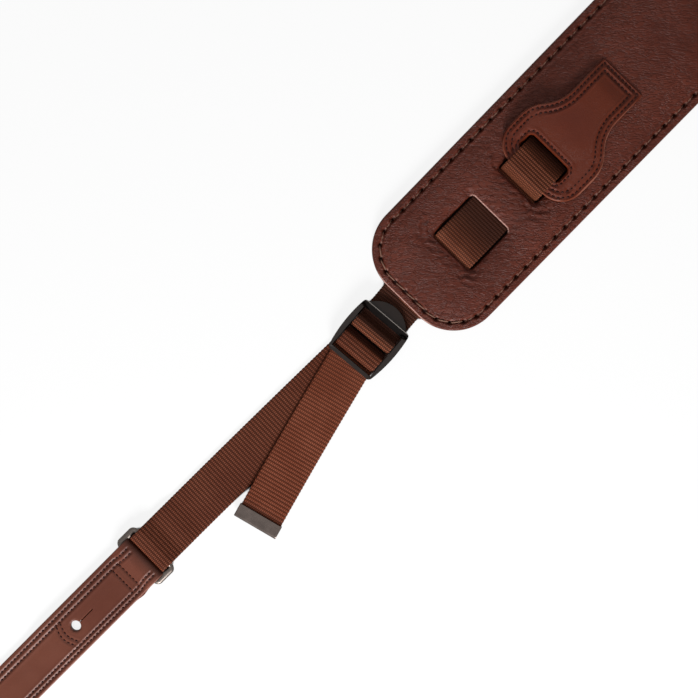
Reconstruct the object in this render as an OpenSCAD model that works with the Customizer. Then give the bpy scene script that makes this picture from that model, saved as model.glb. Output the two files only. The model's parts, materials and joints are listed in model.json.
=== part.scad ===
// Padded leather guitar strap, lying flat on a table.
//
// Millimetres, +Z up. The origin is on the table, under the middle of the shoulder pad.
// +X runs along the strap, from the adjustable front end to the sewn rear end.
// The flexible front chain lies at slightly different angles in the plane of the table, as it was
// laid down: pad, ladder buckle, adjustable webbing, ring and leather end each have their own yaw.

/* [Webbing] */
// Width of the woven webbing
web_w = 30; // [24:0.5:36]
// Thickness of the woven webbing
web_t = 1.4; // [1:0.1:1.8]
// How far the slots, toggle and pad webbing lie to one side of the pad's centre line
line_y = -0.7; // [-3:0.1:3]
// Overlap of each webbing end that is sewn back on itself
sewn_overlap = 20; // [14:1:20]

/* [Shoulder pad] */
// Length of the pad
pad_l = 600; // [420:10:720]
// Width of the pad
pad_w = 90; // [76:1:108]
// Radius of the pad's corners
pad_corner_r = 31; // [12:1:34]
// Height of the pad along its middle
pad_h = 9; // [8:0.1:12]
// Thickness of each pad leather
pad_leather_t = 1.3; // [0.9:0.1:1.6]
// Width of the flat, stitched rim
rim_w = 11; // [8:0.5:13]
// Width of the slope from the rim up to the middle
rim_slope_w = 12; // [8:1:16]
// Distance of the saddle stitch from the pad's edge
edge_stitch_inset = 5.4; // [3.5:0.1:6.5]
// Pitch of the saddle stitch
edge_stitch_pitch = 8.6; // [6:0.2:11]
// Thickness of the saddle thread
edge_thread_t = 0.9; // [0.6:0.1:1.2]

/* [Pad slots] */
// Length of each slot along the strap
slot_l = 35.4; // [34.8:0.2:44]
// Distance from the pad's front end to the first slot
slot_start = 42; // [34:1:56]
// Leather bridge between the two slots
slot_gap = 21.9; // [20.5:0.1:30]
// Clearance on each side of the webbing in a slot
slot_play = 1.3; // [0.8:0.1:2]
// Corner radius of the slots
slot_r = 3; // [2:0.5:5]

/* [Toggle tab] */
// Length of the toggle
toggle_l = 85.3; // [80:1:110]
// Width of the toggle's round head
toggle_head_w = 60.4; // [50:1:66]
// Width of the toggle's neck
toggle_neck_w = 33; // [26:1:40]
// Length of the toggle's head, up to where its sides turn in towards the neck
toggle_head_l = 35; // [32:1:44]
// Length over which the head narrows to the neck
toggle_shoulder_l = 14; // [10:1:20]
// How far the head leans to one side of the toggle
toggle_lean = 2; // [0:0.1:3]
// Thickness of each of the toggle's two leathers
toggle_leather_t = 1.4; // [1.1:0.1:1.7]
// Width of the strip that the webbing loops round
toggle_strip_w = 10; // [8:0.5:11]
// Length of the toggle's window along the strap
toggle_window_l = 11.9; // [11.5:0.1:15]
// Distance from the second slot's front edge to the toggle's head end
toggle_lead = 7.9; // [7.4:0.1:9.4]
// How far the end lip reaches down into its slit
toggle_lip_h = 3; // [2:0.1:3.6]

/* [Ladder buckle] */
// Gap between the buckle's lift tab and the pad
buckle_gap = 6.2; // [5:0.1:12]
// Yaw of the buckle
buckle_yaw = 4; // [0:0.5:8]
// Sideways offset of the buckle from the pad webbing's line
buckle_offset = -0.5; // [-1:0.1:1]
// Length of the plain end bar
plain_bar_l = 2.6; // [2:0.1:6]
// Length of the second crossbar, which holds the adjustable webbing
hold_bar_l = 8.7; // [6:0.1:10]
// Length of the first crossbar, which the pad webbing is sewn round
loop_bar_l = 5.9; // [5:0.1:9]
// Slot between the plain bar and the second crossbar
exit_slot_l = 3.8; // [2.3:0.1:5]
// Slot between the two crossbars
middle_slot_l = 6.6; // [5:0.1:9]
// Slot between the first crossbar and the thick bar
entry_slot_l = 7.2; // [5:0.1:10]
// Length of the thick bar under the lift tab's root
thick_bar_l = 3.4; // [2.5:0.1:5]
// Reach of the half-round lift tab beyond the thick bar
lift_tab_l = 7.5; // [5:0.1:10]
// Height of the buckle's frame
frame_h = 4.4; // [3.9:0.1:6]
// Height of the crossbars
crossbar_h = 2.4; // [1.8:0.1:3]
// Wall of the side rails at their ends
rail_end_w = 1.6; // [1.2:0.1:3]
// How far the side rails bow out in the middle
rail_bow = 1.9; // [0:0.1:3]
// Radius of the lift tab's round edge
lift_tab_r = 18; // [17:0.5:24]
// Thickness of the lift tab
lift_tab_t = 2.2; // [1.6:0.1:3]

/* [Adjustable webbing] */
// Yaw of the stretch between buckle and ring
strand_yaw = -1.3; // [-3:0.05:3]
// Distance from the buckle's plain end to the ring's nearer bar
strand_l = 171.8; // [150:0.1:220]
// Sideways offset of the stretch where it leaves the buckle
strand_offset = 2.8; // [-1:0.1:3.5]
// How far the free tail is turned past the yaw at which its clip would meet the stretch's edge
tail_yaw = 1.85; // [1:0.05:6]
// Length of the free tail from the buckle to the far edge of its clip
tail_l = 120.2; // [100:0.1:140]
// Length of the metal clip on the tail
clip_l = 9; // [7:0.5:12]
// Thickness of the clip's sheet metal
clip_t = 0.8; // [0.5:0.1:1]

/* [Ring] */
// Diameter of the ring's rod
ring_rod_d = 3.6; // [3:0.1:4.2]
// Distance between the axes of the ring's two bars
ring_pitch = 14.2; // [13.8:0.1:18]
// Clearance on each side of the webbing in the ring
ring_play = 0.6; // [0.5:0.1:1.5]
// Slack of the webbing's loop beyond the ring's bar
web_loop_slack = 2.3; // [1:0.1:3]
// Slack of the leather's loop beyond the ring's bar
leather_loop_slack = 4; // [1:0.1:4.2]
// Yaw of the ring
ring_yaw = -1; // [-2:0.1:2]

/* [Leather end] */
// Length from the ring's bar to the tip
end_l = 177; // [150:1:220]
// Width of the leather end
end_w = 32.4; // [28:0.2:40]
// Yaw of the leather end
end_yaw = -0.66; // [-2:0.02:2]
// Thickness of the front leather, which loops round the ring
end_top_t = 1.4; // [1:0.1:1.7]
// Thickness of the lining
end_lining_t = 1.2; // [0.8:0.1:1.5]
// Radius of every strap button hole
button_r = 3.35; // [2.8:0.05:4]
// Distance from the ring's bar to the first button hole
near_hole_d = 57.5; // [50:0.5:70]
// Distance from the tip to the second button hole
tip_hole_d = 18; // [15:0.5:24]
// Length of the slit beside each button hole
hole_slit_l = 12; // [8:0.5:14]
// How far the sewn-back layer reaches past the first hole
return_reach = 14.5; // [12:0.5:20]

/* [Rear tongue] */
// Length of the tongue beyond the pad
tongue_l = 110; // [90:1:150]
// Width of the tongue where it leaves the pad
tongue_root_w = 52; // [44:1:60]
// Width of the tongue near its tip
tongue_tip_w = 34; // [30:1:40]
// Length of the tongue that is sewn inside the pad
tongue_inside_l = 40; // [25:1:60]
// Thickness of each of the tongue's two leathers
tongue_leather_t = 1.3; // [1:0.1:1.4]
// Distance from the tongue's tip to its button hole
tongue_hole_d = 20; // [16:0.5:26]

/* [Stitching] */
// Pitch of the fine stitches on the leather tabs
fine_pitch = 3; // [2.4:0.1:4]
// Distance of the outer row from the edge of the leather end
end_row_inset = 3.5; // [2.5:0.1:4.5]
// Distance between the two rows of a double seam
row_gap = 3.5; // [2.8:0.1:4]
// Distance of the outer row from the toggle's edge
toggle_row_inset = 2.3; // [1.8:0.1:3]
// Thickness of the fine thread
thread_t = 0.6; // [0.4:0.1:0.8]

/* [Hidden] */

leather_brown = [0.32, 0.19, 0.16];
tab_brown = [0.38, 0.18, 0.13];
end_brown = [0.42, 0.27, 0.24];
web_brown = [0.38, 0.21, 0.14];
thread_brown = [0.22, 0.10, 0.07];
edge_thread_brown = [0.45, 0.33, 0.28];
foam_grey = [0.25, 0.25, 0.25];
buckle_black = [0.10, 0.09, 0.09];
clip_grey = [0.28, 0.26, 0.25];

// Clearances and levels. Two layers of webbing lie on the table, one on the other.
gap = 0.1;                          // between touching layers and round the buckle's bars
body_gap = 0.3;                     // between soft pieces that move against each other
layer_1 = gap + web_t / 2;          // middle of the lower layer
layer_2 = layer_1 + web_t + gap;    // middle of the upper layer
layers_top = layer_2 + web_t / 2;
hardware_z = layers_top + gap;      // underside of the buckle
channel_h = layers_top + 0.2;
slot_w = web_w + 2 * slot_play;
cut = 0.5;                          // how far cutting shapes run past a face
turn_flat = 0.1;                    // short flat left at the middle of each U-turn
slit_w = 0.4;                       // of the slit beside a button hole
slit_play = 0.4;                    // round the toggle's lip in the pad
stitch_share = 0.62;                // of the pitch that a fine stitch takes up
seam_margin = 2;                    // from the webbing's edge to the ends of a bar of stitching
window_r = 3;                       // corners of the toggle's window

// Places along the strap
front_x = -pad_l / 2;
rear_x = pad_l / 2;
slot_1_x = front_x + slot_start;
slot_2_x = slot_1_x + slot_l + slot_gap;
toggle_x = slot_2_x + toggle_lead;
channel_end_x = slot_2_x + slot_l;

// ---------------------------------------------------------------- outlines and paths
function unit(v) = v / norm(v);
function flat2(p) = [p[0], p[1]];
function left_of(d) = [-d.y, d.x];

// The arc that rounds corner p, between its neighbours a and b
function corner(a, p, b, r, steps) =
    r <= 0.01 ? [p] :
    let (u = unit(a - p), w = unit(b - p),
         half = acos(max(-1, min(1, u * w))) / 2,
         centre = p + unit(u + w) * r / sin(half),
         from = p + u * r / tan(half) - centre,
         to = p + w * r / tan(half) - centre,
         start = atan2(from.y, from.x),
         sweep = (atan2(to.y, to.x) - start + 540) % 360 - 180)
    [for (i = [0:steps]) centre + r * [cos(start + sweep * i / steps), sin(start + sweep * i / steps)]];

// A closed outline of [x, y, radius] corners, with its corners rounded
function outline(corners, steps = 8) =
    let (n = len(corners))
    [for (i = [0:n - 1])
        each corner(flat2(corners[(i + n - 1) % n]), flat2(corners[i]), flat2(corners[(i + 1) % n]),
                    corners[i][2], steps)];

// An open path of [x, z, radius] corners, with its inner corners rounded
function path(corners, steps = 5) =
    let (last = len(corners) - 1)
    [flat2(corners[0]),
     for (i = [1:last - 1])
        each corner(flat2(corners[i - 1]), flat2(corners[i]), flat2(corners[i + 1]), corners[i][2], steps),
     flat2(corners[last])];

// A counterclockwise outline moved inwards by e, with its radii kept concentric
function inset(corners, e) =
    let (n = len(corners))
    [for (i = [0:n - 1])
        let (p = flat2(corners[i]),
             before = unit(p - flat2(corners[(i + n - 1) % n])),
             after = unit(flat2(corners[(i + 1) % n]) - p),
             bend = before.x * after.y - before.y * after.x,
             moved = p + e * (left_of(before) + left_of(after)) / (1 + left_of(before) * left_of(after)))
        [moved.x, moved.y, corners[i][2] < 0.01 ? 0 : max(0.02, corners[i][2] - sign(bend) * e)]];

function rectangle(x0, x1, y0, y1, r = 0) = [[x0, y0, r], [x1, y0, r], [x1, y1, r], [x0, y1, r]];

// The closed outline of a band of thickness t that follows a path
function band(points, t) =
    let (last = len(points) - 1,
         side = [for (i = [0:last])
            let (before = unit(points[max(i, 1)] - points[max(i, 1) - 1]),
                 after = unit(points[min(i, last - 1) + 1] - points[min(i, last - 1)]))
            (left_of(before) + left_of(after)) / (1 + left_of(before) * left_of(after))])
    [for (i = [0:last]) points[i] + side[i] * t / 2, for (i = [last:-1:0]) points[i] - side[i] * t / 2];

// Extrudes an outline drawn in X and Z along Y, centred
module across(w) {
    translate([0, w / 2, 0]) rotate([90, 0, 0]) linear_extrude(w) children();
}

module strap(corners, w = web_w, t = web_t) {
    across(w) polygon(band(path(corners), t));
}

module plate(corners, z0, z1, steps = 8) {
    translate([0, 0, z0]) linear_extrude(z1 - z0) polygon(outline(corners, steps));
}

// Stitches laid along a polyline at even pitch, each a short raised block
function lengths(points, i = 0, sum = 0) =
    i == len(points) - 1 ? [sum] : [sum, each lengths(points, i + 1, sum + norm(points[i + 1] - points[i]))];

module stitch_row(points, z, pitch, stitch_l, w, h) {
    along = lengths(points);
    total = along[len(along) - 1];
    count = round(total / pitch);
    for (k = [0:count - 1]) {
        s = (k + 0.5) * total / count;
        i = max([for (j = [0:len(along) - 2]) if (along[j] <= s) j]);
        way = unit(points[i + 1] - points[i]);
        at = points[i] + way * (s - along[i]);
        translate([at.x, at.y, z + h / 2])
            rotate([0, 0, atan2(way.y, way.x)])
                cube([stitch_l, w, h], center = true);
    }
}

module fine_row(points, z) {
    stitch_row(points, z, fine_pitch, fine_pitch * stitch_share, thread_t, thread_t * 0.6);
}

function closed(points) = [each points, points[0]];

// The room that the webbing's square end needs beside one turned by 'yaw'
function turned_gap(yaw) = body_gap + web_w / 2 * tan(abs(yaw));

// ---------------------------------------------------------------- shoulder pad
rim_h = channel_h + 2 * pad_leather_t;
hat_w = slot_w + 2 * pad_leather_t;
pad_corners = rectangle(front_x, rear_x, -pad_w / 2, pad_w / 2, pad_corner_r);
slit_x0 = toggle_x + toggle_l - toggle_leather_t - slit_play;
slit_x1 = toggle_x + toggle_l + slit_play;

module pad_slots(z0, z1) {
    for (x = [slot_1_x, slot_2_x])
        plate(rectangle(x, x + slot_l, line_y - slot_w / 2, line_y + slot_w / 2, slot_r), z0, z1);
}

// The slit that the toggle's end lip drops into
module toggle_slit(z0, z1) {
    translate([slit_x0, line_y - toggle_neck_w / 2 - slit_play, z0])
        cube([slit_x1 - slit_x0, toggle_neck_w + 2 * slit_play, z1 - z0]);
}

// A flat rim, a slope whose corners are rounded like the pad's, and a flat middle. The skin's inner
// face has its side moved in by 'side' and its top lowered by 'down'.
module crowned(side, down) {
    plate(inset(pad_corners, side), pad_leather_t, rim_h - down, 12);
    hull() {
        plate(inset(pad_corners, rim_w), pad_leather_t, rim_h - down, 12);
        plate(inset(pad_corners, rim_w + rim_slope_w), pad_leather_t, pad_h - down, 8);
    }
}

// The space that the webbing takes up behind the pad, with the leather that covers it
module hat(w, end_x, z1) {
    translate([front_x - cut, line_y - w / 2, -cut]) cube([end_x - front_x + cut, w, z1 + cut]);
}

module tongue_pocket() {
    translate([rear_x - tongue_inside_l, -tongue_root_w / 2 - gap, pad_leather_t])
        cube([tongue_inside_l + cut, tongue_root_w + 2 * gap, 2 * tongue_leather_t]);
}

module pad_back_leather() color(leather_brown) difference() {
    union() {
        plate(pad_corners, 0, pad_leather_t, 12);
        intersection() {
            hat(hat_w, channel_end_x + pad_leather_t, channel_h + pad_leather_t);
            plate(pad_corners, 0, pad_h, 12);
        }
    }
    hat(slot_w, channel_end_x, channel_h);
    pad_slots(-cut, pad_h);
}

module pad_foam() color(foam_grey) difference() {
    crowned(pad_leather_t, pad_leather_t);
    hat(hat_w, channel_end_x + pad_leather_t, channel_h + pad_leather_t);
    pad_slots(-cut, pad_h);
    toggle_slit(pad_h - pad_leather_t - toggle_lip_h, pad_h);
    tongue_pocket();
}

module pad_front_leather() color(leather_brown) difference() {
    crowned(0, 0);
    crowned(pad_leather_t, pad_leather_t);
    hat(hat_w, channel_end_x + pad_leather_t, channel_h + pad_leather_t);
    pad_slots(-cut, pad_h + cut);
    toggle_slit(pad_h - 2 * pad_leather_t, pad_h + cut);
    tongue_pocket();
}

module pad_edge_stitching() color(edge_thread_brown)
    stitch_row(closed(outline(inset(pad_corners, edge_stitch_inset), 12)), rim_h,
               edge_stitch_pitch, edge_stitch_pitch * 0.78, edge_thread_t, edge_thread_t * 0.6);

// ---------------------------------------------------------------- pad webbing
// It runs behind the pad and up through the second slot, where it goes over to the toggle.
rise_x = slot_2_x + 3;
fold_x = slot_2_x + 4.5;            // where the toggle's webbing takes over, at the pad's surface
fold_z = pad_h;
fold_half = web_t / 2;              // half the height of the stretch that folds as the toggle lifts
fold_lean = (fold_x - rise_x) / (fold_z - layer_2);
return_x = slot_2_x + 9;            // where the toggle's loop takes over in the lower layer

module on_line() {
    translate([0, line_y, 0]) children();
}

module pad_webbing() color(web_brown) on_line() {
    strap([[front_x, layer_2, 0], [rise_x, layer_2, 1.3],
           [fold_x - fold_half * fold_lean, fold_z - fold_half, 0]]);
    strap([[front_x, layer_1, 0], [front_x + sewn_overlap / 2, layer_1, 0],
           [front_x + sewn_overlap, layer_1, 0]]);
    strap([[slot_2_x - sewn_overlap, layer_1, 0], [slot_2_x, layer_1, 0], [return_x - body_gap, layer_1, 0]]);
}

// The short stretch that folds when the toggle is lifted
module toggle_fold() color(web_brown) on_line()
    across(web_w) polygon(band([[fold_x - fold_half * fold_lean, fold_z - fold_half],
                                [fold_x, fold_z],
                                [fold_x + fold_half * fold_lean, fold_z + fold_half]], web_t));

// The two layers that bend between the pad and the buckle
module pad_webbing_bend() color(web_brown) on_line()
    for (z = [layer_1, layer_2])
        translate([front_x - buckle_gap + turned_gap(buckle_yaw), -web_w / 2, z - web_t / 2])
            cube([buckle_gap - turned_gap(buckle_yaw), web_w, web_t]);

// Bars of stitching that hold each webbing end, on the upper layer behind the pad
module pad_webbing_stitching() color(thread_brown) on_line()
    for (x = [front_x + sewn_overlap / 2, slot_2_x - sewn_overlap / 2])
        for (side = [-1, 1])
            translate([x + side * sewn_overlap / 4 - thread_t, -web_w / 2 + seam_margin, layers_top])
                cube([2 * thread_t, web_w - 2 * seam_margin, gap]);

// ---------------------------------------------------------------- rear tongue
tongue_end_x = rear_x + tongue_l;
tongue_hole_x = tongue_end_x - tongue_hole_d;
tongue_drop_l = 18;                 // length over which the tongue comes down to the table
tongue_shoulder_x = rear_x + 8;     // where its sides start to draw in
tongue_neck_x = rear_x + tongue_l * 0.55;
tongue_tip_r = tongue_tip_w / 2 - turn_flat;
tongue_corners = [
    [rear_x - tongue_inside_l, -tongue_root_w / 2, 0], [tongue_shoulder_x, -tongue_root_w / 2, 30],
    [tongue_neck_x, -tongue_tip_w / 2, 60], [tongue_end_x, -tongue_tip_w / 2, tongue_tip_r],
    [tongue_end_x, tongue_tip_w / 2, tongue_tip_r], [tongue_neck_x, tongue_tip_w / 2, 60],
    [tongue_shoulder_x, tongue_root_w / 2, 30], [rear_x - tongue_inside_l, tongue_root_w / 2, 0]];

// A strap button's hole with the slit that lets the button's head through; the slit runs along 'way'
module button_hole(x, way, z0, z1) {
    translate([x, 0, z0]) cylinder(r = button_r, h = z1 - z0, $fn = 48);
    translate([x + (way > 0 ? 0 : -button_r - hole_slit_l), -slit_w / 2, z0])
        cube([button_r + hole_slit_l, slit_w, z1 - z0]);
}

module tongue_layer(level) difference() {
    intersection() {
        plate(tongue_corners, -cut, pad_h);
        strap([[rear_x - tongue_inside_l, pad_leather_t + level, 0], [rear_x + 2, pad_leather_t + level, 20],
               [rear_x + tongue_drop_l, level, 20], [tongue_end_x, level, 0]],
              tongue_root_w, tongue_leather_t);
    }
    button_hole(tongue_hole_x, -1, -cut, pad_h);
}

module tongue_lining() color(end_brown) tongue_layer(tongue_leather_t / 2);

module tongue_top() color(end_brown) tongue_layer(tongue_leather_t * 1.5);

// Two rows round the tongue, where it lies on the table
module tongue_stitching() color(thread_brown)
    intersection() {
        for (e = [end_row_inset, end_row_inset + row_gap])
            fine_row(closed(outline(inset(tongue_corners, e))), 2 * tongue_leather_t);
        translate([rear_x + tongue_drop_l, -pad_w, 0]) cube([tongue_l, 2 * pad_w, pad_h]);
    }

// ---------------------------------------------------------------- toggle
toggle_z = pad_h + body_gap;
toggle_mid_z = toggle_z + toggle_leather_t;
toggle_top_z = toggle_mid_z + toggle_leather_t;
toggle_head_x = toggle_x + toggle_head_l;
toggle_neck_x = toggle_head_x + toggle_shoulder_l;
head_y0 = (-toggle_head_w - toggle_lean) / 2;
head_y1 = (toggle_head_w - toggle_lean) / 2;
toggle_corners = [
    [toggle_x, head_y0, 16], [toggle_head_x + toggle_lean, head_y0, 24],
    [toggle_neck_x + toggle_lean, -toggle_neck_w / 2, 26], [toggle_x + toggle_l, -toggle_neck_w / 2, 1],
    [toggle_x + toggle_l, toggle_neck_w / 2, 1], [toggle_neck_x - toggle_lean, toggle_neck_w / 2, 26],
    [toggle_head_x - toggle_lean, head_y1, 24], [toggle_x, head_y1, 16]];
window_x0 = toggle_x + toggle_strip_w;
window_x1 = window_x0 + toggle_window_l;
window_corners = rectangle(window_x0, window_x1, -slot_w / 2, slot_w / 2, window_r);

module toggle_layer(z0, z1) on_line() difference() {
    plate(toggle_corners, z0, z1, 10);
    plate(window_corners, z0 - cut, z1 + cut);
}

module toggle_lining() color(tab_brown) {
    toggle_layer(toggle_z, toggle_mid_z);
    lip_w = toggle_neck_w - 2;
    on_line() translate([toggle_x + toggle_l - toggle_leather_t, -lip_w / 2, toggle_z - toggle_lip_h])
        cube([toggle_leather_t, lip_w, toggle_lip_h + toggle_leather_t]);
}

module toggle_top() color(tab_brown) toggle_layer(toggle_mid_z, toggle_top_z);

// Two rows round the outline and one round the window; none crosses under the webbing
module toggle_stitching() color(thread_brown) on_line() difference() {
    union() {
        for (e = [toggle_row_inset, toggle_row_inset + row_gap])
            fine_row(closed(outline(inset(toggle_corners, e), 10)), toggle_top_z);
        fine_row(closed(outline(inset(window_corners, -toggle_row_inset))), toggle_top_z);
    }
    translate([slot_2_x, -web_w / 2 - 1, pad_h]) cube([window_x0 + 8 - slot_2_x, web_w + 2, 10]);
}

// The end of the pad webbing: over the toggle's strip, down the window and back under
module toggle_webbing() color(web_brown) on_line() {
    over_z = toggle_top_z + body_gap + web_t / 2;
    down_x = window_x1 - web_t / 2 - 0.8;       // 0.8 clear of the window's far edge
    strap([[fold_x + fold_half * fold_lean, fold_z + fold_half, 0],
           [fold_x + (over_z - fold_z) * fold_lean, over_z, 3],
           [window_x0 + 1.6, over_z, 4], [down_x, over_z - 7, 4],
           [down_x, layer_1, 2.5], [return_x, layer_1, 0]]);
}

// ---------------------------------------------------------------- ladder buckle
// Its own frame: X from the middle of the first crossbar, with the lift tab on the +X side.
loop_bar_x1 = loop_bar_l / 2;
thick_bar_x0 = loop_bar_x1 + entry_slot_l;
thick_bar_x1 = thick_bar_x0 + thick_bar_l;
tab_tip_x = thick_bar_x1 + lift_tab_l;
hold_bar_x1 = -loop_bar_x1 - middle_slot_l;
hold_bar_x0 = hold_bar_x1 - hold_bar_l;
plain_bar_x1 = hold_bar_x0 - exit_slot_l;
plain_bar_x0 = plain_bar_x1 - plain_bar_l;
buckle_opening_w = web_w + 1.4;
plain_bar_drop = 0.9;               // how far the plain bar's top is below the frame's
buckle_end_w = buckle_opening_w + 2 * rail_end_w;
frame_top = hardware_z + frame_h;
crossbar_z0 = hardware_z + gap;
crossbar_z1 = crossbar_z0 + crossbar_h;
over_bar_z = crossbar_z1 + gap + web_t / 2;
buckle_x = front_x - buckle_gap - tab_tip_x;
buckle_y = line_y + buckle_offset;

module in_buckle() {
    translate([buckle_x, buckle_y, 0]) rotate([0, 0, buckle_yaw]) children();
}

// Side rails that bow out between the ends: an arc through three points, as a list
function bowed(x0, x1, y, bow, steps = 10) =
    [for (i = [0:steps]) let (f = i / steps) [x0 + (x1 - x0) * f, y + bow * (1 - pow(2 * f - 1, 2))]];

module buckle_outline() polygon([
    each bowed(plain_bar_x0, thick_bar_x1, -buckle_end_w / 2, -rail_bow),
    each bowed(thick_bar_x1, plain_bar_x0, buckle_end_w / 2, rail_bow)]);

module crossbar(x0, x1) {
    across(buckle_opening_w + 2) polygon(outline(rectangle(x0, x1, crossbar_z0, crossbar_z1, 0.8), 4));
}

module buckle() color(buckle_black) in_buckle() {
    // frame, with the plain bar cut down in height
    difference() {
        translate([0, 0, hardware_z]) linear_extrude(frame_h) buckle_outline();
        translate([plain_bar_x1, -buckle_opening_w / 2, 0])
            cube([thick_bar_x0 - plain_bar_x1, buckle_opening_w, frame_top + cut]);
        translate([plain_bar_x0 - cut, -buckle_opening_w / 2, frame_top - plain_bar_drop])
            cube([plain_bar_l + 2 * cut, buckle_opening_w, frame_h]);
    }
    crossbar(hold_bar_x0, hold_bar_x1);
    crossbar(-loop_bar_x1, loop_bar_x1);
    // lift tab, a half-round plate behind the thick bar
    translate([0, 0, hardware_z]) linear_extrude(lift_tab_t) intersection() {
        translate([tab_tip_x - lift_tab_r, 0]) circle(r = lift_tab_r, $fn = 96);
        translate([thick_bar_x1 - 1, -buckle_opening_w / 2 + 1])
            square([lift_tab_l + 2, buckle_opening_w - 2]);
    }
}

// The pad webbing's turn round the first crossbar, with both layers under the lift tab. The upper layer
// is a stretch of its own up to the side of the bar.
module buckle_loop_webbing() color(web_brown) in_buckle() {
    side = loop_bar_x1 + gap + web_t / 2;
    joint_z = (layer_2 + over_bar_z) / 2;
    strap([[tab_tip_x, layer_2, 0], [side, layer_2, 1], [side, joint_z - body_gap / 2, 0]]);
    strap([[side, joint_z + body_gap / 2, 0], [side, over_bar_z, 1], [-side, over_bar_z, 1],
           [-side, layer_1, 1], [tab_tip_x, layer_1, 0]]);
}

// ---------------------------------------------------------------- adjustable webbing
turn_in_x = hold_bar_x1 + gap + web_t / 2;
turn_out_x = hold_bar_x0 - gap - web_t / 2;

// Up from the lower layer, over the second crossbar and down to the upper layer
module adjuster_turn() color(web_brown) in_buckle()
    strap([[hold_bar_x1 - 1, layer_1, 0], [turn_in_x, layer_1, 1], [turn_in_x, over_bar_z, 1],
           [turn_out_x, over_bar_z, 1], [turn_out_x, layer_2, 1], [plain_bar_x0, layer_2, 0]]);

// The plain end of the buckle in the strap's own frame
function turned(p, yaw) = [p.x * cos(yaw) - p.y * sin(yaw), p.x * sin(yaw) + p.y * cos(yaw)];
plain_end = [buckle_x, buckle_y] + turned([plain_bar_x0, 0], buckle_yaw);

// The strand's frame: origin on its centre line at the buckle's plain end, +X towards the pad
module in_strand() {
    translate([plain_end.x, plain_end.y + strand_offset, 0]) rotate([0, 0, strand_yaw]) children();
}

rod_r = ring_rod_d / 2;
rod_z = gap + web_t + body_gap + rod_r;
ring_bar_x = -strand_l;
run_over_z = rod_z + rod_r + body_gap + web_t / 2;
run_under_z = rod_z - rod_r - body_gap - web_t / 2;
loop_turn_r = rod_r + body_gap + web_t / 2 - turn_flat;
loop_tip_x = ring_bar_x - web_loop_slack - loop_turn_r;
loop_slope_l = 10;                  // length over which the loop narrows from the bar to its seam
loop_end_x = ring_bar_x + sewn_overlap + 12;
strand_end_x = hold_bar_x1 - plain_bar_x0 - 1 - turned_gap(buckle_yaw - strand_yaw);

module adjuster_strand() color(web_brown) in_strand()
    translate([loop_end_x, -web_w / 2, gap])
        cube([strand_end_x - loop_end_x, web_w, web_t]);

// The stretch at the ring: over its bar, back under and sewn to itself
module adjuster_ring_loop() color(web_brown) in_strand()
    strap([[loop_end_x, layer_1, 0], [ring_bar_x + sewn_overlap + 8, layer_1, 10],
           [ring_bar_x + sewn_overlap + 1, layer_2, 10], [ring_bar_x + loop_slope_l + 2, layer_2, 6],
           [ring_bar_x + 2, run_over_z, 5], [loop_tip_x, run_over_z, loop_turn_r],
           [loop_tip_x, run_under_z, loop_turn_r],
           [ring_bar_x + sewn_overlap, run_under_z, 0]]);

module adjuster_stitching() color(thread_brown) in_strand()
    for (x = [ring_bar_x + sewn_overlap - 4, ring_bar_x + sewn_overlap - 1.5])
        translate([x, -web_w / 2 + seam_margin, gap / 2]) cube([thread_t, web_w - 2 * seam_margin, gap / 2]);

// The tail's frame: origin at the buckle's plain end, -X out along the tail
tail_offset = -0.85;                // sideways, where it leaves the buckle
clip_r = (web_t + clip_t) / 2;      // middle of the clip's metal, from the middle of the webbing
clip_w = web_w + 2 * (body_gap + gap);
clip_x = tail_l - clip_l;           // from the buckle to the clip's near edge
// The angle to the stretch at which the clip's corner meets the stretch's edge
meeting_yaw = atan(clip_w / 2 / clip_x)
              + asin((web_w / 2 - (strand_offset - tail_offset) * cos(strand_yaw)) / norm([clip_x, clip_w / 2]));
tail_turn = strand_yaw + meeting_yaw + tail_yaw;

module in_tail() {
    translate([plain_end.x, plain_end.y + tail_offset, 0]) rotate([0, 0, tail_turn]) children();
}

module tail_strand() color(web_brown) in_tail()
    translate([-tail_l + 2 * clip_t + cut, -web_w / 2, layer_2 - web_t / 2])
        cube([tail_l - 2 * clip_t - cut - turned_gap(tail_turn - buckle_yaw), web_w, web_t]);

// A folded strip of sheet metal, crimped over the webbing's end
module tail_clip() color(clip_grey) in_tail()
    across(clip_w)
        polygon(band(path([[-tail_l + clip_l, layer_2 + clip_r, 0],
                           [-tail_l + clip_t / 2, layer_2 + clip_r, clip_r - turn_flat],
                           [-tail_l + clip_t / 2, layer_2 - clip_r, clip_r - turn_flat],
                           [-tail_l + clip_l, layer_2 - clip_r, 0]]), clip_t));

// ---------------------------------------------------------------- ring
// Its frame: origin on the axis of the bar that the webbing goes round, -X towards the leather end
ring_at = [plain_end.x, plain_end.y + strand_offset] + turned([ring_bar_x, 0], strand_yaw);
ring_half_w = web_w / 2 + ring_play + rod_r;

module in_ring() {
    translate([ring_at.x, ring_at.y, 0]) rotate([0, 0, ring_yaw]) children();
}

module ring() color(buckle_black) in_ring() translate([0, 0, rod_z]) {
    bend_r = rod_r + ring_play;
    for (x = [0, -ring_pitch])
        translate([x, -ring_half_w + bend_r, 0]) rotate([-90, 0, 0])
            cylinder(r = rod_r, h = 2 * (ring_half_w - bend_r), $fn = 32);
    for (y = [-ring_half_w, ring_half_w])
        translate([-ring_pitch + bend_r, y, 0]) rotate([0, 90, 0])
            cylinder(r = rod_r, h = ring_pitch - 2 * bend_r, $fn = 32);
    y = ring_half_w - bend_r;
    for (quarter = [[-bend_r, y, 0], [-ring_pitch + bend_r, y, 90],
                    [-ring_pitch + bend_r, -y, 180], [-bend_r, -y, 270]])
        translate([quarter.x, quarter.y, 0]) rotate([0, 0, quarter.z])
            rotate_extrude(angle = 90, $fn = 32) translate([bend_r, 0]) circle(r = rod_r, $fn = 32);
}

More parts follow.
